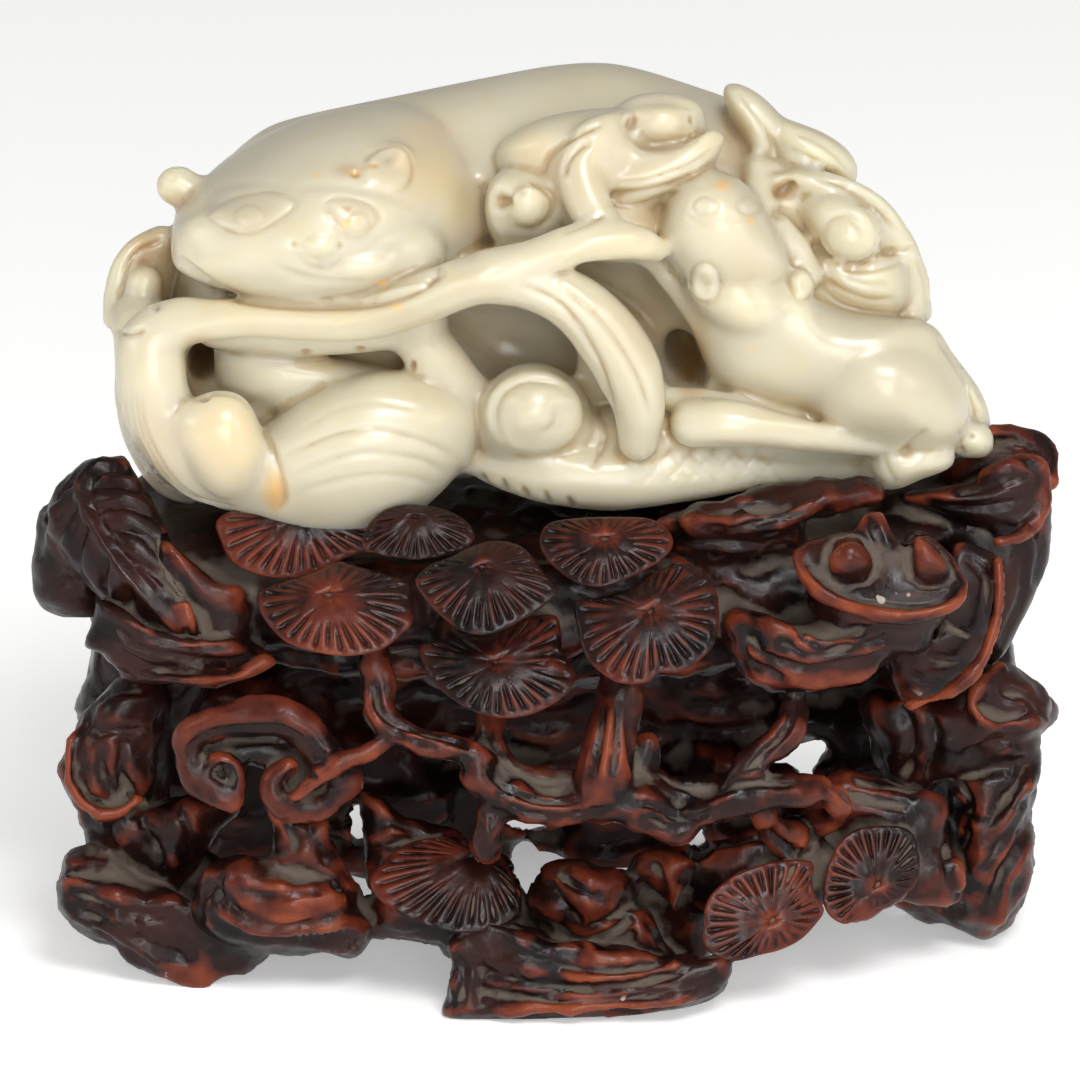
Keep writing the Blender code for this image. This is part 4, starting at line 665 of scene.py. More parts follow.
def left_edge():
    """Folded leaf and ribbed fan behind the left edge."""
    # folded leaf and knob behind the limb
    lobe([(-43.4, 70.6), (-42.8, 73.3), (-41.8, 76.3), (-40.5, 77.8), (-39, 79), (-37.5, 79.4),
        (-36.4, 77.8), (-36.2, 71.8), (-37, 68.8), (-41, 67.3), (-42.4, 67.3)], -2, 2.4, 4)
    strand([(-42.7, 69.8, -5, 1.2), (-42.4, 73.3, -5, 1.2), (-41.3, 76, -4.5, 1.2),
        (-39.2, 77.8, -3, 1.1), (-37.4, 78, -1, 1.0)])
    lobe([(-41.3, 74.3), (-40, 75.2), (-38.5, 75.1), (-37.7, 73.8), (-38, 72), (-39.2, 71), (-41, 71.3),
        (-41.8, 72.6)], -6.5, 2.6, 4)
    ball(-40, 69.8, -8, 3.0, 4.0, 2.6)
    # ribbed fan behind the lower left
    lobe([(-41.6, 64.8), (-42.4, 61.8), (-42, 58.8), (-40.9, 56.1), (-39.4, 53.7), (-37.4, 52),
        (-35, 51.3), (-31.5, 51.2), (-30, 53.8), (-34, 58.8), (-38, 62.8)], 0, 4, 6)


def far_side():
    """Far side: haunch, shoulder, legs, backbone, mane and the tail's end."""
    # haunch, leg and paw at the right as seen from the front
    ball(*behind(20, 60, 16), 10.5, 9.0, 10.0)
    strand([(*behind(22, 54, 18), 3.6), (*behind(14, 50.5, 19), 3.2), (*behind(4, 49.5, 19.5), 2.6)])
    ball(*behind(1, 49.5, 19.5), 3.6, 2.8, 2.2)
    # shoulder, leg and paw at the left
    ball(*behind(-19, 62, 15.5), 8.5, 8.5, 9.0)
    strand([(*behind(-20, 56, 18), 3.2), (*behind(-26, 51, 17.5), 2.8), (*behind(-32, 50.5, 14), 2.4)])
    ball(*behind(-34.5, 50.5, 12.5), 2.8, 3.0, 2.2)
    # backbone
    strand([(*behind(-24, 77, 16), 1.2), (*behind(-10, 80.5, 16.5), 1.6), (*behind(5, 82, 17), 1.7),
        (*behind(18, 78, 17.5), 1.4), (*behind(28, 68, 17.5), 1.0)])
    # locks of the mane behind the head, and the end of the tail
    strand([(*behind(-27, 74, 16), 1.2), (*behind(-31, 68, 15.5), 1.8), (*behind(-28, 63, 19), 1.6)])
    strand([(*behind(-22, 76, 18), 1.2), (*behind(-27, 70, 19), 1.8), (*behind(-22, 66, 21.5), 1.4)])
    strand([(*behind(30, 74, 8), 2.2), (*behind(36, 66, 12), 2.6), (*behind(34, 56, 14), 2.4),
        (*behind(29, 51, 15), 1.4)])
    strand([(*behind(27, 76, 12), 1.6), (*behind(31, 68, 16), 2.0), (*behind(29, 62, 19), 1.4)])


# The pebble is put together: the body and its hollows roughly, then every form under one fine skin,
# which is polished over before the lines are cut.
ROUGH_FINENESS = 0.8
JADE_FINENESS = 0.34
JADE_POLISH = 15

mass = joined("jade_body", [jade_body])
skinned(mass, ROUGH_FINENESS)
pockets = joined("jade_hollows", [jade_hollows])
skinned(pockets, ROUGH_FINENESS)
cut_away(mass, pockets)
softened(mass, 3)
front = joined("jade_front", [big_head, limb_and_branch, bulb_and_bud, lower_body, pup, tail,
                              fungus_head, left_edge, far_side])
jade = fused(mass, front, JADE_FINENESS)
jade.name = "jade_carving"
keep_largest(jade)
put_places(jade, evened(places_of(jade), edges_of(jade), JADE_POLISH))

cuts = Carver(jade)

# Face of the big lion-dog: eyes, brow, nose, muzzle and the low right ear.
for eye in ([(-33.2, 80.4), (-31.8, 81.6), (-29.8, 82.3), (-27.6, 82.7), (-25.6, 82.4), (-24.5, 81.6),
    (-25.2, 80.5), (-26.8, 79.4), (-28.5, 78.6), (-30.4, 78.6), (-32.2, 79.4)], [(-21.4, 81.5),
    (-20.4, 82), (-18.6, 81.9), (-16.9, 81.2), (-16.1, 80.1), (-16.8, 78.9), (-18, 78.1), (-19.4, 78.3),
    (-20.4, 79.5), (-21.1, 80.5)]):
    cuts.ringed(eye, 0.22, 1.4, 0.3, 0.13)
cuts.pit(-29, 80.1, 1.5, 1.0, -0.2)
cuts.groove([(-30.4, 80.4), (-29.8, 81.1), (-28.6, 81.2), (-27.6, 80.6), (-27.8, 79.6), (-29, 79.1),
    (-30.1, 79.5)], 0.2, 0.09, closed=True)
cuts.pit(-18.3, 79.6, 1.2, 1.0, -0.2)
cuts.groove([(-19.4, 79.6), (-18.9, 80.5), (-17.7, 80.5), (-17, 79.6), (-17.6, 78.7), (-18.8, 78.7)],
    0.2, 0.09, closed=True)
cuts.groove([(-33.8, 82.2), (-31.8, 83.1), (-29, 83.5), (-26, 83.2), (-24, 82.4)], 0.5, 0.14)
cuts.groove([(-24.4, 81.3), (-23.8, 82.8), (-22.2, 83.2), (-19.6, 83.1), (-16.8, 82.6), (-14, 81.8),
    (-12, 80.6)], 0.5, 0.16)
cuts.pad([(-23.6, 77.4), (-23, 78.2), (-21.8, 78.4), (-20.6, 78), (-20.2, 77), (-21, 76.1), (-22.4, 76),
    (-23.4, 76.6)], 0.45, 1.5)
cuts.pit(-24.7, 77.4, 0.4, 0.35, 0.2)
cuts.pit(-20, 77.2, 0.4, 0.35, 0.2)
cuts.groove([(-24.4, 76.6), (-23.6, 75.5), (-22.2, 74.9), (-20.6, 75.2), (-19.6, 76.2)], 0.3, 0.16)
cuts.groove([(-22.2, 76), (-22.1, 75.4), (-22.1, 74.8)], 0.25, 0.12)
cuts.groove([(-27, 75.6), (-25, 74.6), (-22.2, 73.9), (-19.5, 73.6), (-17.2, 73.9)], 0.4, 0.15)
cuts.pad([(-20.4, 75.6), (-19.2, 76.2), (-16.8, 76.4), (-14.8, 75.6), (-15.2, 74.4), (-17.4, 73.6),
    (-19.4, 73.8), (-20.6, 74.6)], 0.3, 1.8)
low_ear = [(-17.8, 84.6), (-17.2, 86), (-15.8, 87), (-14.3, 87.3), (-13.1, 86.5), (-12.7, 84.8),
    (-13.1, 83.4), (-14.2, 82.7), (-15.8, 82.8), (-17.2, 83.4)]
cuts.pad(low_ear, 0.35, 1.4)
cuts.groove(low_ear[:8], 0.3, 0.16)
cuts.pit(-15, 86.1, 1.0, 0.7, 0.4, turn=35)
cuts.pit(-18.5, 84.4, 0.5, 0.35, 0.4)
cuts.pit(-16.6, 85.2, 0.4, 0.25, 0.3)
cuts.groove([(-36.2, 76.2), (-34, 74.1), (-30, 72), (-24, 71.2), (-16, 71.4), (-12, 72.7), (-9.4, 75)],
    0.45, 0.55, taper=0.05)
cuts.groove([(-11.6, 73.6), (-10.6, 74.4), (-10, 75.6)], 0.3, 0.3)

# Branch and limb: worn ridges along them, and bark lines on the curved fork.
cuts.groove([(-16.5, 71.9), (-14, 72.7), (-11.2, 73.2)], 0.35, -0.3)
cuts.groove([(-36, 68.2), (-34, 69.4), (-30, 70), (-24, 69.7), (-18, 70), (-14, 71.2), (-9, 73.2),
    (-4, 74.6)], 0.7, -0.25)
cuts.groove([(-2, 73.4), (2, 71.5), (4.4, 68.3), (6.4, 64.3), (7.4, 59.8)], 0.4, 0.4)
cuts.groove([(2, 73.2), (6, 70), (9.6, 64.6), (11.2, 59.8)], 0.4, 0.3)
cuts.groove([(2, 73.7), (3.8, 72.5), (5.6, 70.9)], 0.3, -0.3)
cuts.groove([(2, 76.2), (6, 77.8), (10, 78.2)], 0.5, -0.25)
cuts.pit(-23.4, 66.6, 0.5, 0.2, 0.5)
cuts.pit(-18, 66.9, 0.5, 0.2, 0.5)
cuts.pit(-12.7, 65.2, 0.25, 0.5, 0.4)

# Swollen leaf: long curved lines that run to its tip; bud with its sepals.
cuts.groove([(-25.4, 56.2), (-22, 57.8), (-18.8, 58.7), (-15.6, 58.7), (-11.6, 57.7), (-7.8, 55.8)],
    0.4, 0.26)
cuts.groove([(-24.4, 54.4), (-21, 55.8), (-16.8, 56.5), (-12, 55.8), (-9, 54.4)], 0.35, 0.2)
cuts.groove([(-24, 52.6), (-19, 54), (-14, 54.2), (-10.2, 53.2)], 0.35, 0.14)
cuts.groove([(-24, 58.6), (-20.6, 60.8), (-16.2, 61.6), (-11.4, 60.6)], 0.35, 0.1)
cuts.groove([(-34.8, 61.6), (-33.5, 62.4), (-31.8, 62.6), (-30, 62.2), (-28.4, 60.6)], 0.3, 0.3)
cuts.groove([(-27.8, 59.8), (-26.8, 57.2), (-26, 54.4), (-25.6, 51.8), (-26.4, 50.6)], 0.4, 0.35)
cuts.pit(-33.6, 62.1, 0.5, 0.4, 0.5)

# Scroll on the haunch, serrated edge, and faint scales on the lower body.
cuts.groove([(-3.4, 57), (-4.4, 58.8), (-4.4, 61), (-3.2, 62.8), (-1, 63.7), (1.6, 63.4), (3.4, 62)],
    0.5, 0.42, taper=0.25)
cuts.groove([(-4, 57.2), (-2, 56.2), (0.8, 56.2), (3.4, 57.4), (4.4, 59.2)], 0.45, 0.35, taper=0.25)
cuts.groove([(-0.8, 58.6), (0.8, 58.8), (1.6, 60), (1.2, 61.4)], 0.4, 0.2, taper=0.4)
for tooth in ([(-5.4, 53.2), (-6, 54.6)], [(-3.3, 52.6), (-4, 54)], [(-1.1, 51.8), (-1.9, 53.2)],
    [(1.1, 51.3), (0.3, 52.7)], [(3.4, 50.9), (2.6, 52.2)]):
    cuts.groove(tooth, 0.3, 0.4, taper=0.3)
for row in range(6):
    start = 10 + 2.2 * row
    for first, last in ((57.4, 53), (53, 57.4)):
        cuts.groove([(start, first), (start + 1.8, 55.2), (start + 3.6, last)], 0.2, 0.07)
cuts.groove([(5.6, 61.6), (6.6, 58.8), (6, 56.6), (5, 54.8)], 0.4, 0.3)

# Head of fungus: rim and pits of the oval cap, creases of the stem, curl and ribbed lip.
cuts.groove([(8.2, 90.6), (10, 91.5), (12.8, 91.7), (15.2, 91), (16, 89.6), (15.4, 88), (13.2, 87.1),
    (10.6, 87.2), (8.8, 88.4)], 0.45, 0.28, closed=True)
cuts.pit(9.2, 89.7, 0.55, 1.0, 0.7)
cuts.pit(15.3, 89.8, 0.4, 0.6, 0.5)
cuts.groove([(0.3, 84.6), (0.8, 86), (2, 87.3), (4, 88.5), (6.4, 89.4)], 0.35, 0.5)
cuts.groove([(2.3, 84), (2.8, 85.6), (3.8, 86.8), (5.2, 87.6)], 0.35, 0.42)
cuts.groove([(7.2, 83.4), (11, 83.9), (15, 85.3), (17.8, 87.2)], 0.3, 0.35)
cuts.groove([(7, 82.5), (11, 82.8), (15, 84.1), (17.6, 85.8)], 0.3, 0.3)
cuts.groove([(6.4, 81.3), (10, 81.4), (14, 82.8)], 0.3, 0.25)
cuts.groove([(-3.6, 84), (-4.8, 82.2), (-4.6, 79.6), (-3.2, 78)], 0.4, -0.25)
cuts.groove([(-2.8, 79.2), (-0.6, 78.8), (1, 80), (1.2, 82), (-0.2, 83.4), (-2.2, 83.4), (-3.2, 82),
    (-2.6, 80.4)], 0.35, 0.45)
cuts.pit(-3.9, 81.6, 0.7, 0.8, 0.9)
cuts.pit(-1.9, 82.8, 0.5, 0.5, 0.3)
cuts.groove([(2, 78.6), (5, 79.6), (6.6, 80.4)], 0.35, 0.3)

# The pup: eyes, brow, the two small ears, and the lines of its legs.
for eye in ([(15.2, 81.3), (16, 82.1), (17.2, 82), (17.6, 81.1), (16.8, 80.4), (15.6, 80.5)],
    [(19.8, 81.4), (20.6, 82.2), (21.6, 82), (22, 81), (21.2, 80.4), (20.2, 80.6)]):
    cuts.ringed(eye, 0.1, 0.7, 0.22, 0.12)
cuts.groove([(14.4, 80.2), (16, 79.6), (18.2, 79.6), (20.4, 80)], 0.3, 0.14)
cuts.groove([(12.8, 75.6), (13.6, 74.2), (15, 73.2)], 0.35, 0.3)
cuts.ringed([(15, 73.6), (15.4, 75), (16.6, 75.4), (17.7, 74.6), (18, 73), (17.3, 71.7), (16, 71.6),
    (15.1, 72.4)], 0.35, 1.0, 0.28, 0.16)
cuts.pit(16.5, 73.5, 0.7, 1.0, 0.15)
cuts.ringed([(25, 73.8), (25.8, 74.8), (26.8, 74.6), (27.4, 73.4), (27, 72.2), (25.8, 72)],
    0.4, 0.8, 0.28, 0.16)
cuts.groove([(15.4, 56.8), (20, 57.2), (26, 56.8), (31.6, 56.3), (36, 56.4)], 0.5, 0.12)
cuts.groove([(20.5, 59.8), (26, 59.2), (31, 58.7)], 0.4, -0.22)
cuts.groove([(36.2, 56.6), (37.4, 57.8), (38.8, 58.8)], 0.3, 0.25)
cuts.groove([(32.6, 55.6), (33.2, 54.2), (34.4, 53.2)], 0.3, 0.2)
cuts.groove([(34.4, 56.6), (34.8, 54.8), (35.8, 53.4)], 0.25, 0.2)
cuts.groove([(39.8, 68), (41.8, 65.2), (43.2, 62.2), (43.8, 59.4)], 0.3, 0.4)
cuts.groove([(41, 67.8), (43, 64.6), (44.3, 61.4)], 0.25, 0.25)
cuts.pit(43.3, 58.1, 0.3, 0.3, 0.5)
cuts.groove([(42.2, 59), (42, 57.4), (42.6, 56.2)], 0.25, 0.3)

# Tail of the big lion-dog: curl, drilled holes and the rim's long hairs.
cuts.groove([(26.8, 80.4), (28.2, 82.2), (30.8, 82.4), (33, 80.8), (34, 78.4), (33.2, 76.2), (31, 75.6),
    (29, 76.4), (28.2, 78), (28.8, 79.6), (30.4, 80.2), (31.8, 79.4), (32.2, 78), (31.2, 77.2),
    (30.3, 78)], 0.45, 0.28, taper=0.15)
cuts.groove([(34, 76.6), (36, 76.6), (37.6, 77.2)], 0.35, 0.4)
cuts.groove([(28.6, 75.6), (31, 74.8), (34, 75), (36.4, 75.6)], 0.35, 0.4)
cuts.groove([(28.2, 74.2), (30.6, 72.6), (33.2, 71.8), (35.6, 72)], 0.3, 0.3)
cuts.groove([(29.8, 74.4), (32.2, 73.4), (35.2, 73.4)], 0.3, 0.25)
cuts.groove([(27.2, 84), (30.6, 83.2), (33.6, 81.2), (35.8, 78.6)], 0.4, 0.45)
cuts.groove([(37.8, 76), (38.6, 73.2), (38.6, 70.6)], 0.3, 0.25)
cuts.pit(24.6, 82.8, 0.9, 0.9, 1.6)
cuts.pit(24.9, 83.5, 0.8, 0.25, 0.7, turn=-30)
cuts.pit(24, 80.6, 0.8, 0.9, 0.7)
cuts.groove([(19.8, 92.6), (21.2, 91), (22.6, 89), (23.4, 86.8)], 0.4, 0.35)
cuts.groove([(25.2, 88.6), (27.6, 87.8), (29.8, 86.2), (31, 84.4)], 0.35, 0.3)
cuts.groove([(24.6, 87), (26.8, 86.2), (29, 84.8)], 0.3, 0.25)
cuts.groove([(22.6, 84.2), (25, 85), (28, 84.6), (31, 83.4)], 0.5, 0.4)

# Ribs of the fan behind the left edge, and the folded leaf above it.
for inset in (0, 0.55, 1.1, 1.65, 2.2):
    cuts.groove([(-42.1 + inset, 63), (-41.8 + inset, 59.5), (-40.6 + inset, 56.4),
        (-38.8 + inset, 53.8), (-36 + inset, 51.8), (-32 + inset, 51)], 0.2, 0.22, taper=0.1)
cuts.groove([(-42.2, 71.8), (-41.6, 74.6), (-40, 76.8), (-37.6, 77.8)], 0.35, 0.45)
cuts.groove([(-42.8, 68.8), (-41.2, 68.4), (-39.4, 68.8)], 0.3, 0.35)
cuts.pit(-38.4, 71.2, 0.4, 0.5, 0.4)
cuts.done()

JADE_TRIANGLES = 196000
HOLLOW_REACH = 7.0
thinned(jade, JADE_TRIANGLES)
marked(jade, "hollow", sheltered(jade, HOLLOW_REACH))
marked(jade, "edge", sharpness(jade, 3))

# Stains in the stone, and painted shade: brown is also painted into the drilled pits, the holes, the
# pockets and the hollows, where shade falls. Each is a soft spot at a place on the skin, with its half
# sizes and strength.
cuts = Carver(jade)
for name, spots in (("brown_stain_and_hollow_shade", (
        (-29.0, 80.4, 5.0, 1.9, 0.17),
        (-18.8, 80.1, 2.8, 2.0, 0.18),
        (-15.2, 85.2, 3.0, 2.2, 0.13),
        (-7.4, 80.3, 1.8, 4.4, 0.3),
        (-21.0, 70.0, 15, 1.5, 0.13),
        (-7.0, 73.3, 7, 2.2, 0.1),
        (3.0, 77.2, 9, 1.6, 0.1),
        (6.0, 66.8, 4, 7, 0.09),
        (6.0, 85.3, 8, 6, 0.13),
        (12.0, 89.8, 4.5, 3, 0.1),
        (20.0, 76.8, 6, 7, 0.08),
        (-36.2, 81.8, 2.2, 0.8, 0.35),
        (-38.8, 64.8, 2.6, 6, 0.1),
        (-4.0, 67.3, 6, 4, 0.2),
        (10.0, 69.8, 5, 5, 0.2),
        (15.2, 65.2, 1.6, 3.0, 0.85),
        (-34.0, 65.8, 1.6, 2.4, 0.8),
        (-19.2, 84.8, 1.4, 0.7, 0.55),
        (23.9, 82.6, 1.0, 0.9, 0.8),
        (19.4, 87.3, 1.6, 3.4, 0.4),
        (10.8, 80.3, 1.8, 1.2, 0.4),
        (-26.5, 52.3, 0.9, 1.6, 0.5),
        (-39.2, 77.0, 2.4, 2.8, 0.6),
        (-39.0, 56.8, 3.0, 6.0, 0.3),
        (-19.3, 80.8, 0.5, 0.4, 0.9),
        (-3.9, 81.6, 0.6, 0.7, 0.7),
        (9.2, 89.7, 0.5, 1.0, 0.6),
        (-23.4, 66.5, 0.5, 0.25, 0.8),
        (-17.9, 66.9, 0.5, 0.25, 0.8),
        (-12.7, 65.2, 0.3, 0.6, 0.8)
        )), ("russet_speck", (
        (-11.0, 88.8, 3.0, 1.2, 0.25),
        (-11.0, 85.8, 3.5, 4.5, 0.22),
        (-19.3, 79.4, 0.6, 0.5, 0.7),
        (18.2, 83.3, 0.8, 0.6, 0.6),
        (-15.7, 73.5, 0.6, 0.3, 0.7),
        (-14.3, 71.1, 0.6, 0.4, 0.6),
        (-18.5, 84.4, 0.7, 0.4, 0.6),
        (-16.7, 85.2, 0.5, 0.3, 0.5),
        (-22.5, 84.3, 0.4, 0.3, 0.6),
        (-26.5, 52.8, 1.2, 2.2, 0.6),
        (-27.5, 66.6, 0.6, 0.3, 0.5),
        (-14.5, 65.2, 0.4, 0.5, 0.6),
        (8.0, 56.0, 0.6, 0.4, 0.4),
        (21.2, 67.0, 0.4, 0.4, 0.4),
        (21.0, 79.8, 0.4, 0.3, 0.6),
        (-31.5, 57.8, 3.5, 4.0, 0.3),
        (0.0, 85.8, 2.0, 3.0, 0.15),
        (15.0, 66.8, 2.0, 4.0, 0.35)
        ))):
    amount = np.zeros(len(cuts.across))
    for across, up, half_wide, half_high, strength in spots:
        amount = np.maximum(amount, strength * cuts.spot(across, up, half_wide, half_high))
    marked(jade, name, amount * (cuts.open > 0.05))
placed(jade)

cream = bpy.data.materials.new("pale_jade")
cream.use_nodes = True
nodes, links = cream.node_tree.nodes, cream.node_tree.links
stone = nodes["Principled BSDF"]
for socket, value in (("Roughness", 0.33), ("Subsurface Weight", 0.85),
                      ("Subsurface Radius", (1.0, 0.85, 0.45)), ("Subsurface Scale", 0.006),
                      ("IOR", 1.5), ("Coat Weight", 0.12), ("Coat Roughness", 0.1)):
    stone.inputs[socket].default_value = value
place = nodes.new("ShaderNodeTexCoord")


def attribute_of(name):
    """Value written for each point of the piece, in the finish being made."""
    reader = nodes.new("ShaderNodeAttribute")
    reader.attribute_name = name
    return reader.outputs["Fac"]


def noise_of(scale, detail=3.0):
    """Noise on the piece itself, with features about 1 / scale metres wide."""
    texture = nodes.new("ShaderNodeTexNoise")
    texture.inputs["Scale"].default_value = scale
    texture.inputs["Detail"].default_value = detail
    links.new(place.outputs["Object"], texture.inputs["Vector"])
    return texture.outputs["Fac"]


def ranged(value, low, high, to_low=0.0, to_high=1.0):
    """The value's range from low to high spread over another range and held at its ends."""
    spread = nodes.new("ShaderNodeMapRange")
    for socket, number in zip(("From Min", "From Max", "To Min", "To Max"), (low, high, to_low, to_high)):
        spread.inputs[socket].default_value = number
    links.new(value, spread.inputs["Value"])
    return spread.outputs["Result"]


def worked(kind, first, second):
    """Two values added, multiplied and so on."""
    step = nodes.new("ShaderNodeMath")
    step.operation = kind
    for socket, value in zip(step.inputs, (first, second)):
        if isinstance(value, (int, float)):
            socket.default_value = value
        else:
            links.new(value, socket)
    return step.outputs["Value"]


def blended(share, first, second):
    """First colour, going over to the second by the share."""
    mix = nodes.new("ShaderNodeMix")
    mix.data_type = "RGBA"
    links.new(share, mix.inputs["Factor"])
    for socket, colour in ((mix.inputs["A"], first), (mix.inputs["B"], second)):
        if isinstance(colour, tuple):
            socket.default_value = (*colour, 1)
        else:
            links.new(colour, socket)
    return mix.outputs["Result"]


ground = blended(ranged(noise_of(45, 4), 0.36, 0.64), (0.44, 0.40, 0.30), (0.52, 0.48, 0.365))
ground = blended(ranged(noise_of(120, 5), 0.55, 0.72, 0.0, 0.45), ground, (0.50, 0.425, 0.25))
# Painted shade: the more sheltered a point is, the darker and more tan it is painted, so the recesses
# carry painted shade.
recess = worked("ADD", attribute_of("hollow"), ranged(noise_of(160), 0.3, 0.7, -0.08, 0.08))
ground = blended(ranged(recess, 0.22, 0.6, 0.0, 0.8), ground, (0.53, 0.40, 0.22))
ground = blended(ranged(recess, 0.62, 0.88, 0.0, 0.7), ground, (0.44, 0.31, 0.16))
# Painted shade: the cut lines and grooves, where the skin bends inwards, are painted a darker brown.
groove = worked("ADD", attribute_of("edge"), ranged(noise_of(300), 0.3, 0.7, -0.06, 0.06))
ground = blended(ranged(groove, -0.5, -0.14, 0.6, 0.0), ground, (0.36, 0.27, 0.13))
# Brown: stains in the stone, and painted shade in the drilled pits, holes, pockets and hollows.
ground = blended(attribute_of("brown_stain_and_hollow_shade"), ground, (0.34, 0.20, 0.09))
ground = blended(attribute_of("russet_speck"), ground, (0.62, 0.36, 0.10))
links.new(ground, stone.inputs["Base Color"])
jade.data.materials.clear()
jade.data.materials.append(cream)
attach(jade, "root")
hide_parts("jade_lion_dogs")


# The stand. One block of hardwood, cut through with chisels and files into pine branches, discs of
# needles, leaves and rocks, hollow inside and open below. It was stained and lacquered dark; the
# lacquer is rubbed through to orange-red on the edges, and grey dust sits in the hollows.


def rock(across, up, back, wide, deep, high, rough, seed):
    """Lump of rock: an egg whose surface swells and sinks by the share rough."""
    bpy.ops.mesh.primitive_ico_sphere_add(subdivisions=4, radius=1)
    lump = bpy.context.object
    offset = Vector((seed * 7.3, seed * 3.1, seed * 1.7))
    centre = seen(across, up, back)
    for vert in lump.data.vertices:
        point = vert.co.copy()
        swell = 2 * noise.noise(point * 1.6 + offset) + 0.5 * noise.noise(point * 3.7 + offset)
        point *= 1 + rough * swell
        vert.co = Vector((point.x * wide, point.y * deep, point.z * high)) + centre


# Each disc: outline as seen, hub of the needles, how far back, and how many millimetres nearer it comes
# over ten down. The discs at the foot also turn to the right, and two of them are flatter and thicker.
NEEDLE_DISCS = (
    ([(-31.8, 50.3), (-31.8, 47.3), (-30.2, 45.2), (-26.5, 44), (-22.5, 44.5), (-19.5, 46), (-16, 47.3),
        (-16, 49.8), (-24, 51.8)],
     (-24, 50.3), -15.8, 6),
    ([(-17.8, 47), (-16.8, 49.8), (-14, 51.3), (-10, 51), (-7.5, 49.8), (-6.5, 48.2), (-7.2, 47),
        (-9.5, 46.2), (-12.5, 45.8), (-15.5, 46.2)],
     (-12.5, 50.3), -20, 7),
    ([(-28.2, 41.8), (-27.8, 42.8), (-25, 43.8), (-22.5, 44.6), (-20.2, 45.6), (-18.8, 45.3), (-14, 44),
        (-12.9, 43), (-12.7, 39.8), (-14, 38.2), (-16, 36.8), (-19, 36.2), (-22, 36.5), (-25, 37.4),
        (-26.6, 38.7), (-27.8, 40.3)],
     (-21.2, 42.4), -26, 8),
    ([(-12.5, 43.8), (-11, 45.3), (-9, 46.1), (-7, 47.1), (-4.8, 47.7), (-2.4, 47.4), (-0.8, 46.2),
        (0.6, 44.3), (1.8, 42.8), (0.5, 41.3), (-2, 39.7), (-4, 38.7), (-6, 38.3), (-8, 38.8),
        (-10, 40.3), (-11.6, 42)],
     (-5.8, 45.2), -27, 8),
    ([(-12, 37.2), (-10, 37.8), (-6, 38.4), (-3, 39.3), (-0.5, 40.2), (1.6, 40.2), (2.1, 38.6),
        (2.3, 36.6), (3.6, 34.5), (3, 32.8), (1, 31.2), (-1.5, 30.2), (-4, 30), (-6.5, 30.6), (-9, 32),
        (-10.8, 33.8), (-11.8, 35.6)],
     (-4.4, 35.6), -29, 7),
    ([(0, 48.2), (1, 49.5), (4, 50), (8, 50.1), (11, 49.9), (12.8, 48.8), (13.3, 47.3), (12.2, 45.8),
        (10.5, 44.8), (8.5, 43.8), (6, 43.1), (3.5, 43.6), (1.5, 45), (0.2, 46.6)],
     (6.5, 48), -25, 8),
    ([(3.5, 41.6), (6, 42), (9, 43), (12, 44.8), (14, 45.5), (16, 44.8), (17.4, 43.3), (17.9, 40.8),
        (17.6, 37.8), (16, 35.8), (14, 34.6), (12, 34.5), (10.5, 33.5), (8, 33.5), (6, 34.6),
        (4.5, 36.3), (3.8, 38.8)],
     (11, 40.7), -30, 7),
    ([(-17, 13.8), (-15.5, 15.8), (-13.5, 17.3), (-11, 18), (-8.5, 17.7), (-6, 16.6), (-3.8, 15.2),
        (-2.5, 13.3), (-2, 11.3), (-2.8, 9.8), (-5, 8.8), (-8, 8.5), (-11, 9.1), (-14, 10.4),
        (-16.2, 12)],
     (-6, 16.3), -24, 8, -1),
    ([(16.3, 9.3), (16.6, 11.3), (17.5, 12.8), (19.5, 14.3), (22, 15.3), (24.5, 15.8), (27.2, 15.6),
        (27.2, 13.8), (27.5, 12.3), (28.4, 10.8), (27.5, 9.3), (26, 7.8), (24, 6.8), (22, 6.3),
        (19.5, 5.7), (17.5, 6.2), (16.3, 7.5)],
     (23.3, 9.7), -27, 3.5, -2, 0.8, 4),
    ([(28.3, 12.3), (28.7, 14.8), (29.8, 17.3), (31.5, 18.8), (34, 19.2), (36.5, 19), (37.6, 17.8),
        (38, 15.3), (37.5, 13.3), (36, 12), (34, 11), (32, 10), (30.5, 9.4), (29.2, 10), (28.5, 11)],
     (33.8, 13.3), -22, 2.5, -2, 0.8, 4),
)
NEEDLES = 27
NEEDLE_POINTS = 6
NEEDLE_DEPTH = 0.6


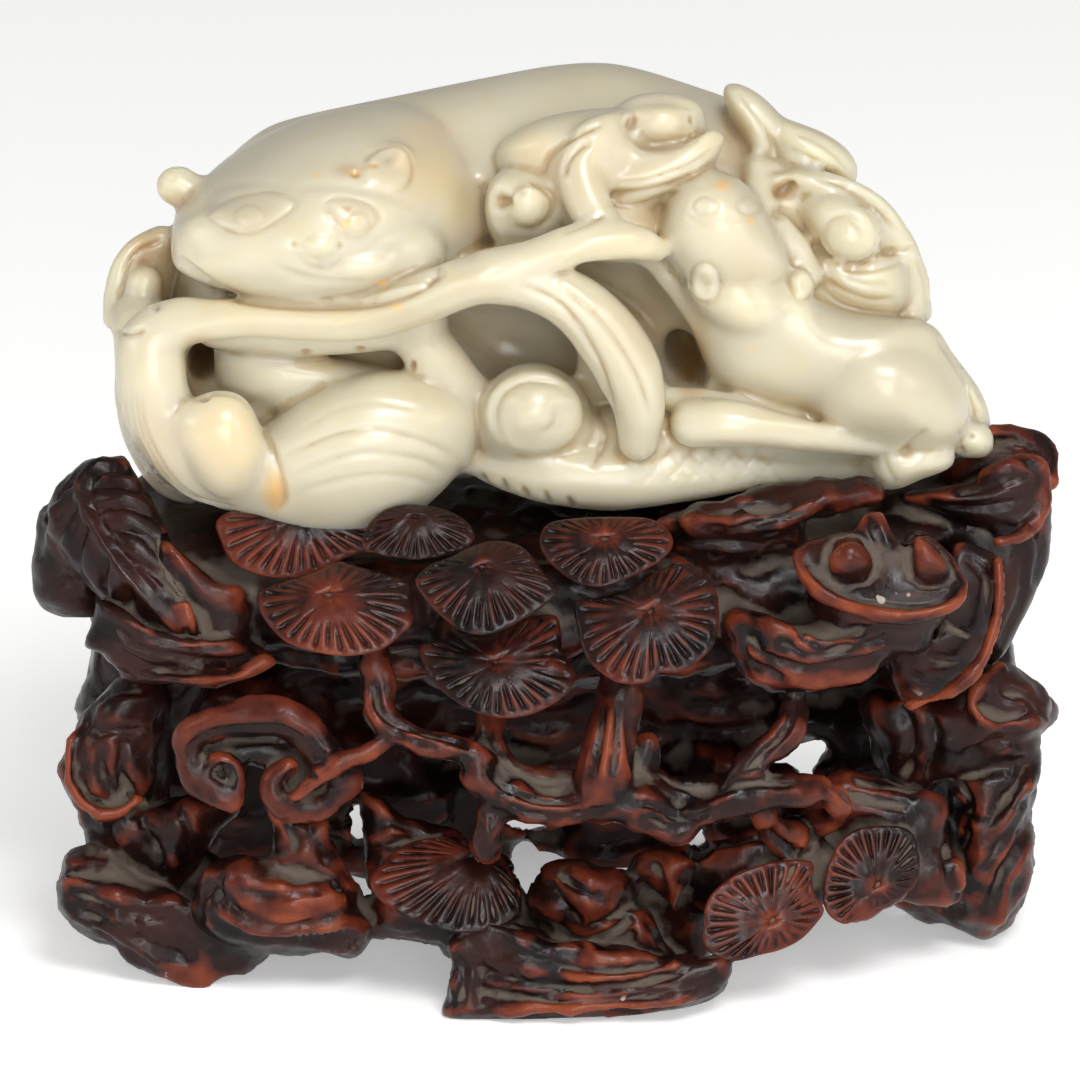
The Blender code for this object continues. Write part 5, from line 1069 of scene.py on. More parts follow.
def disc_rings(outline, hub, back, down, right=0, dome=1.2, thick=2.4, cut=True):
    """Domed disc with its cut needles or, for the wood underneath, plain and sunk a little."""
    line = round_line(outline, True, 6)
    line = np.vstack([line, line[:1]])
    run = np.concatenate([[0], np.cumsum(np.linalg.norm(np.diff(line, axis=0), axis=1))])
    at = np.linspace(0, run[-1], NEEDLE_POINTS * NEEDLES, endpoint=False)
    rim = np.stack([np.interp(at, run, line[:, 0]), np.interp(at, run, line[:, 1])], 1)
    hub = np.array(hub, float)
    front = [(share, dome * (share ** 2.6 - 1) + (0 if cut else 0.5)) for share in
             (0.02, 0.07, 0.12, 0.3, 0.42, 0.5, 0.58, 0.74, 0.86, 0.91, 0.96, 1.0)]
    rear = [(share, level * thick) for share, level in ((0.98, 0.35), (0.9, 0.9), (0.1, 1.0))]
    rings = []
    for number, (share, level) in enumerate(front + rear):
        ring = []
        for corner, rim_point in enumerate(rim):
            point = hub + (rim_point - hub) * share * (1.0 if cut else 0.95)
            sink = 0.0
            if cut and number < len(front):
                needle, step = divmod(corner, NEEDLE_POINTS)
                start = 0.54 + 0.1 * math.sin(needle * 2.4) + 0.04 * math.sin(needle * 5.1)
                end = 0.9 + 0.03 * math.sin(needle * 3.7)
                sink = math.exp(-((step - NEEDLE_POINTS // 2) / 1.05) ** 2)
                sink *= min(1, max(0.25, (math.dist(rim_point, hub) - 2.6) / 2.6))
                sink *= NEEDLE_DEPTH * min(1, max(0, (share - start) / 0.1))
                sink *= min(1, max(0, (end - share) / 0.05))
                sink += 0.7 * max(0, 1 - share / 0.1)
                sink += 0.12 * noise.noise(Vector((point[0], point[1], back)) * 1.1)
            slope = (down * (hub[1] - point[1]) + right * (point[0] - hub[0])) / 10
            ring.append(seen(point[0], point[1], back - slope + level + sink))
        rings.append(ring)
    skin(rings)


def needle_discs():
    """The wood of the discs, just under their needles."""
    for disc in NEEDLE_DISCS:
        disc_rings(*disc, cut=False)


def cut_discs():
    """The discs' faces with their needles."""
    for disc in NEEDLE_DISCS:
        disc_rings(*disc, cut=True)


def seat_and_backing():
    """Seat under the jade, wood behind the discs, and the upper back wall."""
    # seat under the jade, hollow below
    ball(-27, 49.8, 3, 17, 19, 3.4)
    ball(0, 49.3, 2, 28, 19, 3.6)
    ball(26, 51.8, 4, 20, 19, 4.0)
    ball(0, 40.8, 2, 40, 22, 3.0)
    # backing of the upper tier, behind the fans
    lobe([(-37, 42.8), (-28, 44.8), (-14, 45.8), (2, 43.8), (18, 45.8), (32, 45.8), (36, 41.8),
        (32, 35.8), (18, 35.8), (10, 33.8), (2, 32.8), (-9, 32.8), (-16, 36.8), (-26, 36.8),
        (-34, 37.8)], -14, 5, 8, full=0.6)
    lobe([(-6, 44.8), (-2, 45.8), (6, 45.8), (14, 45.8), (16, 41.8), (14, 37.8), (6, 36.8), (-2, 33.8),
        (-9, 34.8), (-10, 39.8)], -22, 2.5, 8, full=0.6)
    # back curtain
    for seed, *lump in ((2, -38, 41.8, 10, 7, 12, 13), (3, -27, 41.8, 21, 13, 5, 13),
                        (6, -12, 39.8, 25, 13, 5, 15), (4, 2, 39.8, 26, 14, 5, 14),
                        (7, 16, 39.8, 26, 13, 5, 14), (5, 30, 42.8, 23, 13, 6, 13),
                        (8, 40.5, 42.8, 12, 7, 11, 14)):
        rock(*lump, rough=0.13, seed=seed)


def left_leaves():
    """Broad leaves that wrap the upper left corner."""
    lobe([(-49.2, 51.3), (-50.2, 48.8), (-50.8, 45.8), (-50.7, 43.3), (-50, 41.3), (-48.5, 40.3),
        (-46, 40.1), (-43.5, 40.6), (-43, 44.8), (-46, 49.8)], -9, 4, 6)
    lobe([(-41.2, 55.9), (-43, 56.1), (-45.5, 55.5), (-47.8, 53.8), (-49, 51.8), (-49.3, 49.8),
        (-48.5, 47.3), (-46.5, 44.6), (-44, 42), (-41, 39.8), (-38, 38.5), (-35, 37.6), (-32.8, 37.5),
        (-33.8, 39.8), (-35, 42.8), (-36.3, 45.8), (-37.7, 49.6), (-39.4, 53)],
        -14, 4.5, 7, lean=(-2, -3))
    lobe([(-44, 41.8), (-45, 39.3), (-45.7, 37), (-44, 36.5), (-42.5, 35.2), (-39.5, 34.4), (-36, 34.1),
        (-32.5, 33.9), (-29.8, 34.4), (-27, 35.8), (-29, 37.8), (-32.5, 37.8), (-36, 38.2), (-39, 39),
        (-42, 41.2)], -19, 4, 7)
    lobe([(-37.5, 47.8), (-35, 45.8), (-32.5, 43.8), (-29.3, 42.8), (-29, 37.8), (-30, 35.8),
        (-32.5, 36.3), (-34.5, 39.8), (-36.5, 43.8)], -18, 2.5, 7, full=0.6)
    strand([(-41.2, 34.6, -19, 0.8), (-36, 34.1, -22, 1.0), (-31.5, 34, -24, 1.0),
        (-27.2, 35.6, -24, 0.5)])


def right_rocks():
    """Ledges of rock at the upper right, with the dished fungus cap."""
    lobe([(11.5, 49.8), (16, 51.5), (22, 52.8), (28, 53.6), (33.2, 53.6), (34.5, 51.8), (30, 50.6),
        (26.6, 49.8), (26.2, 47), (23, 45.8), (18, 45.2), (15, 45.6), (12.5, 47.3)],
        -17, 4, 8, full=0.7)
    strand([(15, 49.8, -20, 1.0), (20, 49.6, -21.5, 1.2), (25, 50.3, -21.5, 1.0), (29, 51.8, -20, 1.0)])
    lobe([(14, 45.8), (18, 46.3), (22, 44.8), (25, 41.8), (28, 39.3), (24, 37.8), (19.5, 39.8),
        (17.5, 42.8)], -16, 3, 8)
    lobe([(18.5, 40.6), (20.5, 41), (23.5, 40), (26, 39.4), (32, 39.6), (35, 40), (39, 39),
        (38.8, 36.8), (35.5, 36.1), (33, 34.7), (30, 33.5), (26, 32.8), (22.5, 33), (20, 34.7),
        (18.8, 37.3)], -22, 4.5, 8, full=0.7)
    # dished cap with two knobs
    lobe([(25.6, 46), (26.5, 47.8), (29, 48.5), (31.2, 48.7), (32.4, 50.4), (34.2, 50.5), (35.2, 48.8),
        (36.5, 47), (38.5, 48.3), (40.5, 47), (41.7, 45.5), (42.3, 43.3), (41.5, 41.3), (39, 40.5),
        (36, 40.3), (33, 40.7), (30, 41.7), (27.5, 43.1), (26, 44.5)],
        -26, 1.2, 3.5, full=0.4, lean=(0, -5))
    strand([(25.8, 46.2, -25.5, 0.7), (26.6, 44.2, -27, 0.9), (30, 41.9, -28.5, 1.0),
        (34, 40.7, -29.5, 1.0), (38.5, 40.6, -29.5, 0.9), (41.7, 41.8, -28.5, 0.8),
        (42.2, 43.5, -27, 0.7)])
    lobe([(28.3, 45.8), (29, 47.3), (30.5, 48.1), (32.2, 47.8), (33.4, 46.3), (33.6, 44.6),
        (32.2, 43.6), (30, 43.8), (28.8, 44.6)], -26.5, 2.8, 3)
    lobe([(37, 47.3), (37.8, 48.3), (39, 47.8), (40.5, 46.4), (41.3, 45), (40.7, 43.8), (39, 43.4),
        (37.4, 43.6), (37, 45.3)], -26.5, 2.4, 3)
    ball(34, 41.8, -20, 7, 7, 4)


def right_leaves():
    """Curled leaves that wrap the upper right corner."""
    lobe([(43.5, 57.8), (45.5, 58.7), (49.5, 58.5), (51, 57.2), (51.4, 55.3), (50.6, 51.8), (47, 51.8),
        (42, 51.8), (39, 53.3), (41, 55.6)], 0, 3, 8)
    strand([(44.5, 58.2, -2, 0.9), (47, 58.4, -1, 1.0), (49.6, 58, 0, 1.0), (50.9, 56.5, 0, 1.0),
        (51, 53.8, -2, 1.0)])
    lobe([(36, 52.2), (39, 52.8), (44.5, 54), (47, 55.5), (49, 55.8), (50.4, 54), (50.6, 51.8),
        (49.8, 49.3), (48, 47.9), (45.8, 47.5), (42, 49), (38.5, 50.4)], -8, 2.5, 8)
    strand([(44.5, 54.1, -9, 0.8), (47.2, 55.4, -9, 0.9), (49.4, 55.4, -8, 0.9), (50.3, 53.3, -8, 0.9),
        (49.8, 50, -9.5, 0.8), (47.8, 48.1, -11, 0.7), (45.8, 47.6, -12, 0.6)])
    lobe([(40, 51.8), (46, 51.3), (50.8, 51.8), (51.2, 48.8), (50.5, 44.8), (49, 41.3), (47.2, 37.8),
        (45.5, 35.8), (42, 35.8), (40, 41.8)], -6, 4, 9)
    lobe([(41.5, 47.5), (44.5, 46.9), (46, 45.6), (45.8, 41.8), (44.8, 37.3), (43, 34.3), (40, 32.2),
        (37.2, 31.2), (36, 32.1), (35, 34.6), (34.8, 36.3), (38.5, 37), (39.5, 38.8), (40.5, 42.8)],
        -16, 3, 8)
    strand([(45.8, 45.8, -17.8, 0.5), (45.7, 41.8, -19.2, 0.55), (44.6, 37, -20.2, 0.55),
        (42.7, 34, -20.7, 0.55), (39.8, 32.1, -20.7, 0.6), (37, 31.4, -20.2, 0.5)])


def branches():
    """Pine trunk and branches across the open middle."""
    strand([(-16.8, 37.3, -25, 1.8), (-16.3, 32.8, -27, 1.6), (-16.2, 30.6, -28, 1.6),
        (-13.8, 28.5, -29, 1.3), (-10.8, 27.5, -29, 1.4), (-7, 26.6, -29, 1.6), (-5.6, 24, -29, 1.9),
        (-3.5, 22.1, -29, 2.0), (0, 21, -29, 1.8), (3.5, 21, -29, 1.9), (7, 21.8, -29, 2.2),
        (11, 20.6, -28.5, 2.3), (13.2, 19.4, -28, 2.0), (16.2, 20.6, -28, 1.8), (20, 22.3, -27.5, 2.0),
        (24.5, 22.9, -27, 1.6), (28.2, 23.2, -25, 1.2)])
    strand([(8.2, 33.8, -25, 2.4), (7.2, 28.8, -27, 2.6), (6.6, 24.8, -28.5, 3.0),
        (6.2, 22.2, -28.5, 2.8)])
    strand([(-5, 30.3, -25, 1.4), (-5, 27.3, -26.5, 1.8), (-3, 24.3, -27, 2.0), (0.5, 22.8, -27, 2.0),
        (4, 22.8, -27.5, 2.0)])
    strand([(10.5, 27.3, -25, 1.2), (11, 23.3, -26, 2.0), (15, 22.3, -26, 2.0), (19, 22.8, -26, 1.8)])
    strand([(25.7, 32.1, -23, 1.0), (24.7, 28.8, -25.5, 1.7), (22.2, 26.6, -27, 1.6),
        (20.5, 24.3, -27.5, 1.7), (18.5, 21.8, -27.5, 1.8)])
    strand([(-4.3, 21.8, -28.5, 1.4), (-5.3, 19, -29, 1.6), (-5.5, 16.8, -28.5, 1.6)])
    strand([(28.2, 23.2, -25, 1.0), (29.8, 21.8, -24, 1.2), (29.8, 20.3, -22, 1.2),
        (27.5, 19.2, -20, 1.4)])
    strand([(21.7, 21.8, -26, 1.0), (22.8, 19.3, -24, 1.2), (25, 17.8, -22, 2.0)])
    strand([(-24.4, 22.2, -29, 0.7), (-21, 25, -30, 1.1), (-17.2, 26.8, -29.5, 0.9),
        (-14.5, 28, -28.5, 0.7)])


def fungus_scroll():
    """Scrolled fungus head at the middle left, on its stem."""
    strand([(-30.8, 22, -27, 1.2), (-32.8, 22.8, -27, 1.5), (-34.7, 24.8, -26.5, 1.5),
        (-35.2, 27.6, -26.5, 1.6), (-33.2, 29.4, -27, 1.8), (-29, 30, -27.5, 2.0),
        (-25, 29.8, -28, 2.0), (-22.6, 27.8, -28, 1.9), (-20.8, 25.6, -28, 1.8),
        (-19.5, 23.8, -27, 1.6), (-20.8, 22.2, -27, 1.5), (-24, 21.2, -27, 1.5),
        (-26.2, 22.1, -27.5, 1.5), (-26.7, 23.8, -27.5, 1.3), (-25.2, 25, -27.5, 1.1)])
    lobe([(-34.8, 25.3), (-33.5, 27.6), (-31, 29), (-26, 29.2), (-23, 27.3), (-21, 24.3), (-23, 21.8),
        (-26, 21.8), (-26.5, 24.3), (-30, 25.3), (-30.3, 22.8), (-32.5, 22.3)],
        -24, 2.2, 4, middle=(-28.5, 26.3))
    strand([(-33.4, 24.6, -26.5, 0.8), (-32.4, 25.8, -27, 0.9), (-30.9, 25.2, -27, 1.0),
        (-30.4, 23.4, -27, 1.0), (-31.2, 22, -27, 1.0)])
    lobe([(-27.4, 21.8), (-24, 20.6), (-21.2, 20), (-20.6, 16.8), (-18.8, 14.2), (-17.8, 12.6),
        (-20, 11), (-24, 11.6), (-28.5, 12.2), (-31.5, 13.8), (-30, 15.6), (-26.8, 16.2),
        (-26.6, 18.8)], -21, 3, 7)


def left_rocks():
    """Rocks down the left side, the left foot and the shelf rock."""
    lobe([(-39, 34.6), (-41, 34.6), (-43, 33), (-45, 30.8), (-47, 27.8), (-48, 25), (-47.8, 23.3),
        (-46.5, 21.3), (-45.2, 20), (-42.8, 20.3), (-40.3, 21.3), (-39, 21.8), (-38.2, 25.8),
        (-37.5, 31.8)], -13, 5, 9)
    strand([(-45.2, 29.6, -14.6, 0.7), (-46.8, 26.6, -16.4, 0.7), (-46.2, 22.3, -17.4, 0.7),
        (-44, 20.6, -17.4, 0.7), (-40.4, 21.8, -17.4, 0.6)])
    lobe([(-45.6, 21), (-45.6, 19.3), (-44.8, 17), (-42.5, 16), (-40, 14.2), (-36.8, 13), (-34.8, 14.6),
        (-32.8, 17.6), (-30.2, 20.6), (-30.4, 22), (-34, 22.2), (-38, 21.6), (-42, 21.2)], -13, 5, 9)
    lobe([(-47.8, 14.6), (-47.4, 16.1), (-45.8, 16.8), (-43.4, 16.8), (-41.8, 15.4), (-39.2, 13.8),
        (-36.6, 13), (-37.4, 11.6), (-39.5, 10.2), (-43, 11.4), (-46, 12.5), (-47.8, 13.4)],
        -13, 4, 8, full=0.6)
    lobe([(-48, 13.8), (-47.8, 10.8), (-46, 8.8), (-43, 7.3), (-40, 5.2), (-36.5, 3.7), (-33.5, 3.2),
        (-31.4, 4.2), (-28, 5.6), (-26.8, 6.4), (-30, 7.8), (-34, 10.8), (-37, 12.6), (-42, 13.3),
        (-46, 14)], -18.6, 2.0, 13, full=0.6)
    lobe([(-34.4, 13.4), (-33.5, 15), (-31.5, 15.8), (-28, 16.1), (-24, 14.6), (-19, 13.8),
        (-17.9, 12.6), (-17.7, 10.3), (-16.9, 9.2), (-17.2, 7.7), (-19, 6.5), (-24, 6.4), (-28, 6.7),
        (-31.5, 7.7), (-33.6, 9), (-34.6, 11.3)], -20, 6.5, 7, full=0.7)
    lobe([(-39, 14.8), (-34, 16.8), (-30, 14.8), (-24, 11.8), (-28, 6.8), (-34, 7.8), (-38, 10.8)],
        -10, 3, 8)


def front_foot():
    """Front foot with the shell-like rock on it."""
    lobe([(-17.4, 11.8), (-17, 8.5), (-14, 8.1), (-10, 7.3), (-8.8, 6.1), (-6, 5.3), (-4, 8.3),
        (-7, 10.3), (-11, 11.8), (-14.5, 12.3)], -19, 3, 7, full=0.7)
    lobe([(-18, 22.8), (-16.2, 21.8), (-13.8, 20.3), (-11, 19.2), (-7.5, 18), (-7, 16.8), (-10, 14.8),
        (-14, 13.8), (-17.2, 12.8), (-17.6, 16.8)], -19, 3, 7)
    lobe([(-9, 7.3), (-8.8, 4.6), (-9.4, 2.3), (-9.9, 0.8), (-9.3, 0), (-6, -0.2), (0, -0.1), (6, 0.1),
        (11, 0.5), (15, 1.2), (17.5, 2.2), (18.8, 3.8), (18.9, 5.3), (17.6, 6), (15, 5.6), (11, 6.3),
        (6, 7.3), (1, 7.8), (-3, 9.3), (-6, 9.3)], -28.6, 2.5, 15, full=0.6)
    lobe([(-0.8, 13.3), (0, 15.2), (2, 16), (5, 15.6), (7.8, 14.8), (10, 13.8), (9.2, 11.3), (8.6, 10),
        (9, 8), (7.5, 6.6), (4.5, 6.5), (2.2, 7.4), (0.3, 8.1), (-0.9, 10.3)], -19, 5, 7)
    lobe([(9, 13.8), (10, 15.6), (11.5, 16.8), (14.2, 17.3), (16.1, 16.6), (15.6, 14.6), (14.4, 12.6),
        (13.3, 10.4), (12.2, 12.6), (10.5, 13.2)], -19, 3, 7)
    lobe([(7.5, 11.3), (11, 10.6), (12.6, 7.3), (14.4, 4.8), (10, 4), (5, 5), (6, 8.8)], -20, 3, 8)
    strand([(-4, 1.2, -30, 1.0), (2, 1.5, -31, 1.2), (8, 1.8, -31, 1.2), (14, 2.8, -30.5, 1.0),
        (17.6, 4.3, -29, 0.8)])
    strand([(-3.5, 7.3, -26, 1.0), (0, 5.6, -29, 1.3), (6, 4.3, -30.5, 1.3), (11, 4, -30, 1.2),
        (15, 5.2, -29, 1.0)])


def right_pillar():
    """Rock pillar at the right, on the right foot."""
    lobe([(34.5, 32.8), (38, 31.8), (42, 32.8), (46, 35.4), (49, 33.8), (51, 31.8), (51.3, 30.2),
        (50.1, 28.3), (49.6, 25.3), (46, 24.3), (41, 23.8), (36.5, 22.3), (34.5, 24.3), (33, 28.3),
        (32.6, 31.8)], -5, 7, 13, full=0.7)
    lobe([(41.5, 24.8), (46, 27.3), (49.7, 26.8), (49.4, 21.8), (49.1, 15.8), (48.5, 12.2), (46.8, 9.6),
        (45, 7.9), (43.6, 8.1), (42.2, 9.5), (40.5, 11.6), (40.2, 13.8), (40.8, 17.8), (41, 21.8)],
        -4.4, 7.5, 12, full=0.7)
    lobe([(35.3, 11.5), (36.5, 12.8), (40.5, 13.8), (43, 9.3), (40.5, 9.9), (37.5, 10.2)], -5, 3, 8)
    lobe([(26, 20.6), (28, 23.3), (31, 24.8), (35, 23.3), (39.5, 22.3), (41, 18.8), (40.2, 14.8),
        (37.5, 14.8), (33, 16.8), (29, 16.8), (26, 17.8)], -14, 3, 12)
    lobe([(15, 16.8), (18, 17.8), (22, 19.3), (26, 19.8), (29, 17.8), (31, 14.8), (29, 11.8),
        (22, 10.8), (17, 9.8), (14.5, 12.8)], -19, 3, 8)
    lobe([(28, 15.8), (32, 17.8), (37, 17.8), (42, 15.8), (42, 11.8), (36, 11.8), (32, 12.3),
        (29, 11.8)], -15, 3, 10)
    strand([(46, 35, -9, 0.8), (43.5, 31.8, -12, 0.8), (44.5, 29.8, -12, 0.8), (49, 30, -10, 0.8),
        (50.4, 29.6, -8, 0.8)])


def back_wall():
    """Lower back wall with the two back feet."""
    for seed, *lump in ((51, -16.5, 21.8, 21, 10, 6, 12), (55, -8, 21.8, 24, 8, 5, 9),
                        (56, 6, 22.8, 27, 10, 5, 9), (59, 7, 17.3, 24, 6, 5, 7),
                        (52, 19.5, 20.3, 23, 7, 6, 10), (57, 34, 22.8, 21, 7, 6, 13),
                        (58, -30, 24.8, 18, 10, 6, 13), (53, -41, 29.8, 4, 5, 9, 14),
                        (54, 43, 29.8, 8, 5, 10, 14)):
        rock(*lump, rough=0.11, seed=seed)
    ball(27.2, 30.6, 23, 4.5, 5, 4.5)
    # dark web behind the centre rock
    lobe([(9, 15.8), (15, 16.8), (18, 14.8), (17.5, 8.8), (16, 5.3), (12, 4.3), (10, 7.8)], -14, 3, 8)
    lobe([(-6, 15.8), (-4, 16.8), (-2, 13.8), (0, 7.8), (-2, 6.3), (-5, 8.3)], -16, 3, 8)


def see_through():
    """Openings right through the lower back wall."""
    lobe([(21.7, 25.5), (22.5, 26.6), (24.5, 27.1), (27.8, 27.4), (28.6, 26.8), (28.2, 24.8),
        (27.2, 24), (24, 24.8)], 26, 14, 14)
    for across, up, wide, high in ((-18.6, 19, 1.0, 2.0), (-1.2, 18.9, 2.8, 0.9),
                                   (-1.5, 15.4, 1.5, 1.6), (15.8, 17.8, 1.4, 1.6)):
        ball(across, up, 0, wide, 70, high, (-SIGHT_DEGREES, 0, 0))


# The block is put together as the jade was, and the openings are cut right through it.
STAND_FINENESS = 0.34

backing = joined("stand_back", [seat_and_backing, back_wall])
skinned(backing, ROUGH_FINENESS)
softened(backing, 2)
front = joined("stand_front", [needle_discs, left_leaves, right_rocks, right_leaves, branches,
                               fungus_scroll, left_rocks, front_foot, right_pillar])
stand = fused(backing, front, STAND_FINENESS)
cut_away(stand, joined("see_through", [see_through]))
stand.name = "stand_carving"
keep_largest(stand)
put_places(stand, evened(places_of(stand), edges_of(stand), 2))

# The seat: wood that the stone would fill lies just under the stone's skin.
SEAT_GAP = 0.35
SEAT_LOW = 40
SEAT_HIGH = 62
places = places_of(stand)
stone_points = [Vector((place - np.array(MIDDLE)) / MM) for place in places_of(jade)]
stone_tree = BVHTree.FromPolygons(stone_points, [tuple(face.vertices) for face in jade.data.polygons])
close = np.flatnonzero((places[:, 2] > SEAT_LOW) & (places[:, 2] < SEAT_HIGH))
for index in close:
    spot, normal, _, _ = stone_tree.find_nearest(Vector(places[index]), 9.0)
    if spot is not None and (Vector(places[index]) - spot).dot(normal) < SEAT_GAP:
        places[index] = spot + normal * SEAT_GAP
places[:, 2] = np.maximum(places[:, 2], 0)
put_places(stand, places)

# Rough-hewn skin: the rocks are chipped all over, the leaves, the cap and the scroll only a little.
def chipped(x, y, z):
    """How deep the skin of the rock lies here: broad swells, small ones, and flat chips."""
    chip = noise.voronoi(Vector((x, y, 1.5 * z)) * 0.3)[0][0]
    point = Vector((x, y, z))
    return noise.noise(point * 0.3) * 0.7 + noise.noise(point * 1.6) * 0.1 + (0.5 - chip) * 0.7


def layered(x, y, z):
    """Beds of the rock, which lie nearly level and show most at the back."""
    return noise.noise(Vector((x * 0.09, y * 0.09, z * 0.42)))


cuts = Carver(stand)
uneven = np.array([chipped(*place) for place in places])
layers = np.array([layered(*place) for place in places])
uneven += (0.25 + 1.1 * np.clip((places[:, 1] - 6) / 8, 0, 1)) * layers
smooth = np.zeros(len(places))
for across, up, half_wide, half_high in ((-39.5, 44.8, 12, 12), (44, 45.3, 9, 14), (-27.5, 26, 9, 5.5),
    (34, 45.4, 9, 5.5), (6.5, 27, 4, 6)):
    from_middle = ((cuts.across - across) / half_wide) ** 2 + ((cuts.up - up) / half_high) ** 2
    smooth = np.maximum(smooth, np.exp(-from_middle ** 2))
cuts.cut += uneven * (1 - 0.92 * smooth) * np.clip(places[:, 2] / 1.5, 0, 1)

# The big leaf at the left: midrib, side veins and turned rim.
cuts.pad([(-41.2, 55.7), (-43, 56), (-45.4, 55.4), (-47.6, 53.7), (-48.8, 51.7), (-49.1, 49.7),
    (-48.3, 47.3), (-46.3, 44.6), (-43.8, 42), (-40.9, 39.8), (-38, 38.5), (-35.2, 37.7), (-33.4, 37.6),
    (-34.2, 40), (-35.4, 42.8), (-36.7, 45.8), (-38.1, 49.6), (-39.8, 53)], 0.7, 0.7)
cuts.groove([(-42.8, 55.8), (-44.6, 54.6), (-45.6, 52.6), (-44.8, 50), (-43, 47), (-40.6, 43.8),
    (-37.6, 40.8), (-34.6, 37.8)], 0.45, -0.7)
cuts.groove([(-42.2, 55.2), (-44, 54), (-44.8, 52.4), (-44, 50), (-42.2, 47.2), (-39.8, 44.2),
    (-36.8, 41.2)], 0.35, 0.5)
for vein in ([(-45, 54), (-42.8, 54.8), (-40, 53.8)], [(-45.2, 52.4), (-42.4, 53.1), (-39, 52)],
    [(-44.6, 50.6), (-41.4, 51), (-38, 49.4)], [(-43.4, 48.6), (-40.4, 48.4), (-37.4, 45.8)],
    [(-41.8, 46.2), (-39, 44.8), (-36.2, 41.4)], [(-45.6, 53.6), (-47.4, 52.8), (-48.8, 51.2)],
    [(-45.6, 51.4), (-47, 49.8), (-48.2, 47.2)], [(-44.8, 49.4), (-45.8, 47.2), (-46, 44.4)],
    [(-42.8, 46.6), (-43.4, 43.8), (-42.6, 41)], [(-40.4, 43.6), (-40.6, 41.2), (-39.4, 39)]):
    cuts.groove(vein, 0.34, 0.8, taper=0.3)
cuts.groove([(-49.3, 51), (-48.8, 47.6), (-46.6, 44.4), (-43.4, 41), (-39.4, 38.7), (-34.4, 37.5)],
    0.5, -0.4)
cuts.groove([(-48.6, 50.6), (-48, 47.6), (-45.8, 44.6), (-42.8, 41.6), (-39, 39.4), (-35.4, 38.4)],
    0.4, 0.4)
cuts.groove([(-38.4, 49.8), (-37.6, 46.8), (-36.4, 43.2), (-34.4, 38.4)], 0.5, -0.45)
cuts.groove([(-50.6, 45.8), (-49.6, 48.8), (-49.2, 50.6)], 0.5, 0.5)
cuts.groove([(-50, 41.8), (-48, 43.8), (-45.6, 43.2)], 0.5, 0.5)
# The leaf under it, folded twice.
cuts.groove([(-42.8, 40), (-40.6, 37.4), (-37, 36.2), (-31.6, 35.8), (-27.6, 36.4)], 0.45, 0.6)
cuts.groove([(-41.2, 39.2), (-36.8, 37.2), (-30.4, 36.8)], 0.4, 0.45)
cuts.groove([(-43.6, 37.8), (-40, 35.4), (-34.4, 34.6), (-29.4, 35)], 0.4, 0.45)
cuts.groove([(-44, 36.6), (-39, 34.3), (-33, 33.7), (-28.8, 34.6)], 0.5, -0.4)
# Ledges at the upper right.
for ledge in ([(12.8, 47.8), (17, 47.6), (21, 47.2), (25.8, 48.6)], [(15, 49.4), (19, 48.8), (24, 50),
    (28, 51.2)], [(16, 46.2), (20.6, 45.8), (25.6, 46.8)], [(16, 50.6), (21, 51), (26, 51.8)],
    [(19.5, 39.6), (21.8, 36.8), (26, 35), (31.2, 35.6), (35, 36.8)], [(23.5, 38.2), (26.2, 36.3),
    (30.6, 36.8), (34.8, 38.2)], [(25, 39.6), (29.2, 38.4), (34, 39.2)], [(20.2, 37.8), (21.2, 35.4),
    (25, 33.6)]):
    cuts.groove(ledge, 0.42, 0.6)
cuts.groove([(20.2, 35), (25, 33), (31, 34.2), (35.2, 36)], 0.6, -0.4)
cuts.groove([(25.8, 39.2), (26.6, 37.8), (28.2, 36.8)], 0.3, 0.6)
# Fungus cap: a raised lip round the dish, and the necks of its two knobs.
cuts.groove([(27.2, 47.2), (27.2, 45.2), (29.2, 43.2), (33, 41.8), (37.2, 41.4), (40.4, 42.2),
    (41.4, 43.8)], 0.5, 0.55)
cuts.groove([(28.4, 45.8), (29.2, 47.4), (31, 48.2), (32.8, 47.4), (33.7, 45.6), (33, 43.8), (31, 43.3),
    (29, 44)], 0.3, 0.5, closed=True)
cuts.groove([(36.8, 47), (37.6, 48.4), (39.2, 47.8), (40.8, 46.2), (41.4, 44.6), (40.4, 43.4),
    (38.2, 43.2), (37, 44.4)], 0.3, 0.5, closed=True)
cuts.groove([(32.8, 50.6), (33.4, 48.8), (34.4, 46.6)], 0.4, 0.4)
# Curled leaves at the upper right.
for line in ([(36.8, 51.2), (41, 49.6), (45.6, 48.4)], [(38, 52), (43, 51), (48.4, 51.8)], [(41, 52.4),
    (46, 53.4), (49, 54.4)], [(44.5, 57), (47.5, 56.6), (50, 54.8)], [(45, 57.8), (48, 57.4),
    (50.4, 56)], [(42.5, 46.2), (44.6, 43.8), (45, 39.8)], [(39.5, 39.8), (42.5, 38.4), (44.2, 37.8)],
    [(38.5, 35.8), (41, 35.4), (43, 35.6)], [(36.5, 35), (38.6, 33.4), (40.4, 33.4)], [(47, 47.8),
    (48.4, 44.8), (47.8, 40.8), (45.6, 37)], [(49, 49.8), (50.2, 46.8), (49.4, 42.8)]):
    cuts.groove(line, 0.42, 0.5)
cuts.groove([(46, 46.2), (46, 41.8), (44.8, 36.8), (42.6, 33.8), (39.6, 31.8)], 0.6, -0.4)
